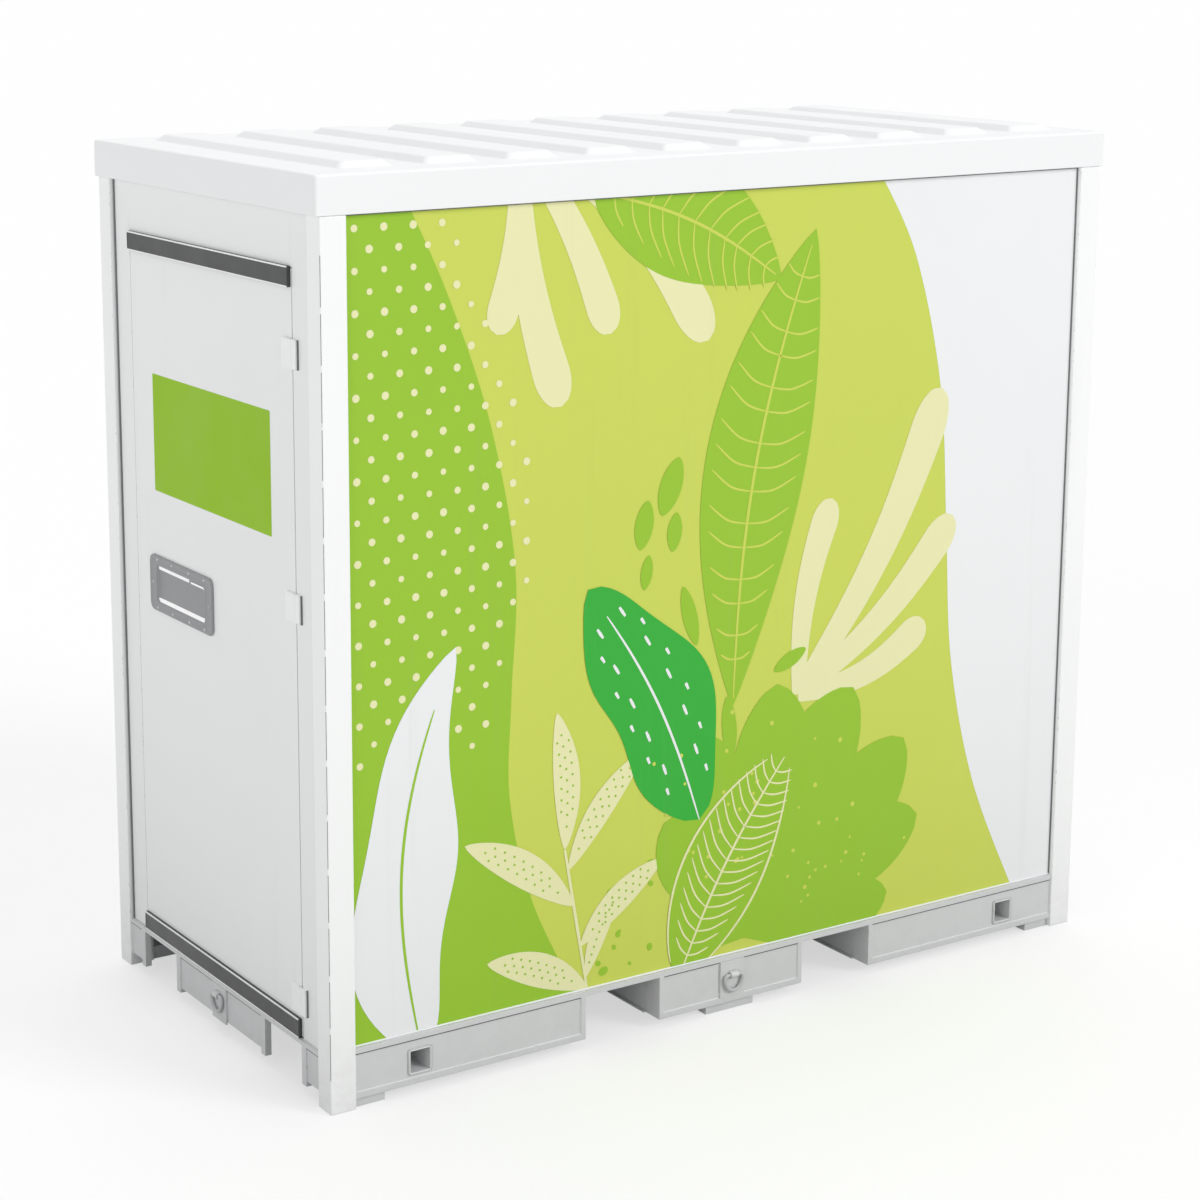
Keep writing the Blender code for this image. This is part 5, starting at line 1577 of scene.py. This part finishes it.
# ---------------------------------------------------------------- inside: low-voltage board
def board_details():
    """Rails with small breakers and terminals, copper links, and the board door's locks, hinges and seal."""
    plate = REAR.at(*REAR((0.0, 0.0, -0.5862)))
    cases, rails, bars, dark, reds = (bmesh.new() for _ in range(5))
    for z in (0.985, 1.500):
        soft_block(rails, plate, (0.595, z), (0.145, 0.0175), (0.0, 0.0075), 0.0015, 0.002)
    for k in range(13):
        u = 0.487 + 0.0180 * k
        soft_block(cases, plate, (u, 0.985), (0.0086, 0.042), (0.004, 0.052), 0.0012, 0.0018)
        soft_block(cases, plate, (u, 0.985), (0.0084, 0.0225), (0.050, 0.066), 0.0012, 0.0018)
        soft_block(
            dark if k % 4 else reds, plate, (u, 0.990), (0.0040, 0.0080), (0.064, 0.077), 0.0015, 0.002
        )
    for k in range(10):
        u = 0.500 + 0.0210 * k
        soft_block(cases, plate, (u, 1.500), (0.0098, 0.024), (0.004, 0.040), 0.0012, 0.0018)
        rivet(dark, plate, (u, 1.508, 0.0396), 0.0048, 0.0016, 14)
    for k in range(3):
        u = 0.635 + 0.035 * k
        for z in (1.427, 1.074):
            soft_block(
                bars, plate, (u, z), (0.0100, 0.050), (0.030, 0.036), 0.0008, 0.0012, faces_back=True
            )
        for z in (1.395, 1.105):
            hexagon(rails, plate, (u, z, 0.036), 0.013, 0.006)
    finished("board_small_breakers", cases, "cabinet", "enclosure")
    finished("board_rails_and_bolts", rails, "galvanised", "enclosure")
    finished("board_copper", bars, "copper", "enclosure")
    finished("board_small_levers", dark, "black", "enclosure")
    finished("board_red_levers", reds, "red", "enclosure")
    inner, outer = span("board_door", 1)
    door = REAR.at(*REAR((0.0, 0.0, outer)))
    locks, barrels, seal = bmesh.new(), bmesh.new(), bmesh.new()
    lock = [(0.018, -0.0005), (0.018, 0.003), (0.0165, 0.0045), (0.0100, 0.0045), (0.0090, 0.0010)]
    for z in (1.030, 1.470):
        pin(locks, door, (0.890, z), lock, 24)
        soft_block(locks, door, (0.890, z), (0.0032, 0.0075), (-0.0002, 0.0040), 0.0008, 0.0015)
    hinge = (span("board_door", 0)[1] + 0.0030, (inner + outer) / 2)
    for z in (0.950, 1.550):
        barrel = [(0.0050, z - 0.030), (0.0062, z - 0.029), (0.0062, z + 0.029), (0.0050, z + 0.030)]
        pin(barrels, TOP, hinge, barrel, 16)
    ring = [REAR((0.6705 + u, 1.250 + v, inner - 0.0004)) for u, v in rounded(0.2300, 0.3850, 0.010, 5)]
    rod(seal, ring, 0.0022, 8, close=True)
    finished("board_door_locks", locks, "steel", "board_door")
    finished("board_door_barrels", barrels, "steel", "board_door")
    finished("board_door_seal", seal, "gasket", "board_door")


# ---------------------------------------------------------------- inside: door and cabin
def door_inside():
    """Pressed stiffeners, a screwed cover plate and the lock's escutcheon on the inner face of the door."""
    inner = FAR_END.at(*FAR_END((0.0, 0.0, span("door_leaf", 0)[1])))
    pressed, cover, heads = bmesh.new(), bmesh.new(), bmesh.new()
    for z in (0.420, 0.900, 1.620, 2.080):
        soft_block(pressed, inner, (-0.115, z), (0.235, 0.026), (-0.0005, 0.0050), 0.0030, 0.012)
    soft_block(pressed, inner, (-0.120, 1.240), (0.150, 0.110), (-0.0005, 0.0160), 0.0040, 0.010)
    for u in (-0.255, 0.015):
        for v in (1.145, 1.335):
            screw(heads, inner, (u, v, 0.0157), 0.0045, 0.0020, drive=6)
    rose = [(0.026, -0.0005), (0.026, 0.003), (0.024, 0.0045), (0.010, 0.0045), (0.0085, 0.0012)]
    pin(cover, inner, (0.360, 1.2475), rose, 28)
    finished("door_inner_pressings", pressed, "door", "door")
    finished("door_inner_screws", heads, "steel", "door")
    finished("door_inner_escutcheon", cover, "steel", "door")


def cabin_lining():
    """Posts of the wall frame, seen from inside."""
    made = bmesh.new()
    for side, places in ((REAR, (0.150, -0.130, -1.200)), (FRONT, (0.130, 1.200))):
        for x in places:
            soft_block(made, side, (x, 1.270), (0.020, 1.080), (-0.6013, -0.5890), 0.0020, 0.003)
    finished("cabin_wall_frames", made, "frame", "enclosure")


switchgear_details()
board_details()
door_inside()
cabin_lining()


# ---------------------------------------------------------------- far end
def far_end_details():
    """The louvre's surround and screws, and the strips over the joints of the wall above it."""
    trim, heads, strips = bmesh.new(), bmesh.new(), bmesh.new()
    face = span("wall_far_end", 0)[1]
    ring = [FAR_END((u, 0.510 + v, face + 0.0004)) for u, v in rounded(0.4330, 0.2130, 0.006, 4)]
    rod(trim, ring, 0.0032, 8, close=True)
    places = [(-0.390 + 0.130 * k, v) for k in range(7) for v in (0.315, 0.705)]
    places += [(u, v) for v in (0.400, 0.510, 0.620) for u in (-0.415, 0.415)]
    for u, v in places:
        screw(heads, FAR_END, (u, v, span("louvre", 0)[1] - 0.0004), 0.0055, 0.0024, drive=6)
    low, high = 0.740, span("wall_far_end", 2)[1]
    size = (0.020, (high - low) / 2 - 0.010)
    for u in (-0.3, 0.3):
        soft_block(
            strips, FAR_END, (u, (low + high) / 2), size, (face - 0.0005, face + STRIP), 0.0009, 0.003
        )
        for k in range(10):
            rivet(heads, FAR_END, (u, low + 0.050 + (high - low - 0.100) * k / 9, face + STRIP - 0.0002))
    finished("louvre_surround", trim, "gasket", "enclosure")
    finished("far_end_fixings", heads, "steel", "enclosure")
    finished("far_end_joint_covers", strips, "wall", "enclosure")


far_end_details()


# ---------------------------------------------------------------- floor, light and camera
def stage_floor():
    """A pale floor, lifted towards white where it is seen or mirrored. It keeps the object's shadow.

    Its colour for bounced light is painted darker close to the object than further away: painted shade of the
    object on the floor.
    """
    made = bmesh.new()
    reach = 160.0
    made.faces.new(
        [made.verts.new((x * reach, y * reach, -0.0005)) for x, y in ((-1, -1), (1, -1), (1, 1), (-1, 1))]
    )
    mesh = bpy.data.meshes.new("studio_floor")
    made.to_mesh(mesh)
    made.free()
    n = Nodes("studio_floor_look")
    tree = n.tree
    away = n.add("ShaderNodeVectorMath", operation="LENGTH")
    tree.links.new(n.where, away.inputs[0])
    # Painted shade: the floor's colour for bounced light is darker close to the object.
    bounce = n.ramp(away.outputs["Value"], 1.2, 3.6, 0.50, 0.90)
    level = n.add("ShaderNodeCombineColor")
    for socket in level.inputs[:3]:
        tree.links.new(bounce, socket)
    n.set(Base_Color=level.outputs[0], Roughness=0.9, Specular_IOR_Level=0.0)
    lifted = n.add("ShaderNodeEmission")
    lifted.inputs["Color"].default_value = (1.0, 1.0, 1.0, 1.0)
    lifted.inputs["Strength"].default_value = 1.0
    matt = n.add("ShaderNodeBsdfDiffuse")
    matt.inputs["Color"].default_value = (1.0, 1.0, 1.0, 1.0)
    share = n.add("ShaderNodeMixShader")
    share.inputs[0].default_value = FLOOR_WHITE
    tree.links.new(matt.outputs[0], share.inputs[1])
    tree.links.new(lifted.outputs[0], share.inputs[2])
    rays = n.add("ShaderNodeLightPath")
    sharp = n.math("MAXIMUM", rays.outputs["Is Glossy Ray"], rays.outputs["Is Transmission Ray"])
    seen = n.math("MAXIMUM", rays.outputs["Is Camera Ray"], sharp)
    choice = n.add("ShaderNodeMixShader")
    tree.links.new(seen, choice.inputs[0])
    tree.links.new(n.shader.outputs[0], choice.inputs[1])
    tree.links.new(share.outputs[0], choice.inputs[2])
    tree.links.new(choice.outputs[0], tree.nodes["Material Output"].inputs["Surface"])
    mesh.materials.append(n.material)
    floor = bpy.data.objects.new("studio_floor", mesh)
    SCENE.collection.objects.link(floor)


def sun(name, towards, strength, spread):
    """A broad distant lamp: the same light on the object and on the whole floor."""
    lamp = bpy.data.lights.new(name, "SUN")
    lamp.energy = strength
    lamp.angle = math.radians(spread)
    obj = bpy.data.objects.new(name, lamp)
    obj.rotation_euler = Vector(towards).to_track_quat("Z", "Y").to_euler()
    SCENE.collection.objects.link(obj)


FLOOR_WHITE = 0.6
WORLD_STRENGTH = 0.50


def lighting():
    """A white world, dimmer as a light than as it is seen, and three broad suns."""
    world = bpy.data.worlds.new("studio")
    SCENE.world = world
    world.use_nodes = True
    tree = world.node_tree
    background = tree.nodes["Background"]
    background.inputs["Color"].default_value = (1.0, 1.0, 1.0, 1.0)
    rays = tree.nodes.new("ShaderNodeLightPath")
    mixed = tree.nodes.new("ShaderNodeMath")
    mixed.operation = "MAXIMUM"
    tree.links.new(rays.outputs["Is Camera Ray"], mixed.inputs[0])
    tree.links.new(rays.outputs["Is Transmission Ray"], mixed.inputs[1])
    seen = tree.nodes.new("ShaderNodeMath")
    seen.operation = "MAXIMUM"
    tree.links.new(mixed.outputs[0], seen.inputs[0])
    tree.links.new(rays.outputs["Is Glossy Ray"], seen.inputs[1])
    level = tree.nodes.new("ShaderNodeMapRange")
    level.inputs["To Min"].default_value = WORLD_STRENGTH
    level.inputs["To Max"].default_value = 1.0
    tree.links.new(seen.outputs[0], level.inputs["Value"])
    tree.links.new(level.outputs["Result"], background.inputs["Strength"])
    sun("key_light", (0.50, -0.72, 0.48), 1.26, 26)
    sun("roof_light", (0.15, 0.25, 0.95), 0.80, 40)
    sun("fill_light", (-0.92, -0.30, 0.22), 0.60, 50)


def camera():
    """The camera at its viewing angle."""
    lens = bpy.data.cameras.new("camera")
    lens.sensor_width = 36.0
    lens.lens = 81.156
    lens.shift_x = 0.07917
    lens.shift_y = -0.1125
    lens.clip_start, lens.clip_end = 0.1, 400.0
    obj = bpy.data.objects.new("camera", lens)
    obj.location = (-4.5543, -6.5905, 3.1153)
    obj.rotation_euler = (math.radians(90 - 11.318), 0.0, math.radians(-32.451))
    SCENE.collection.objects.link(obj)
    SCENE.camera = obj


stage_floor()
lighting()
camera()
SCENE.view_settings.view_transform = "Standard"
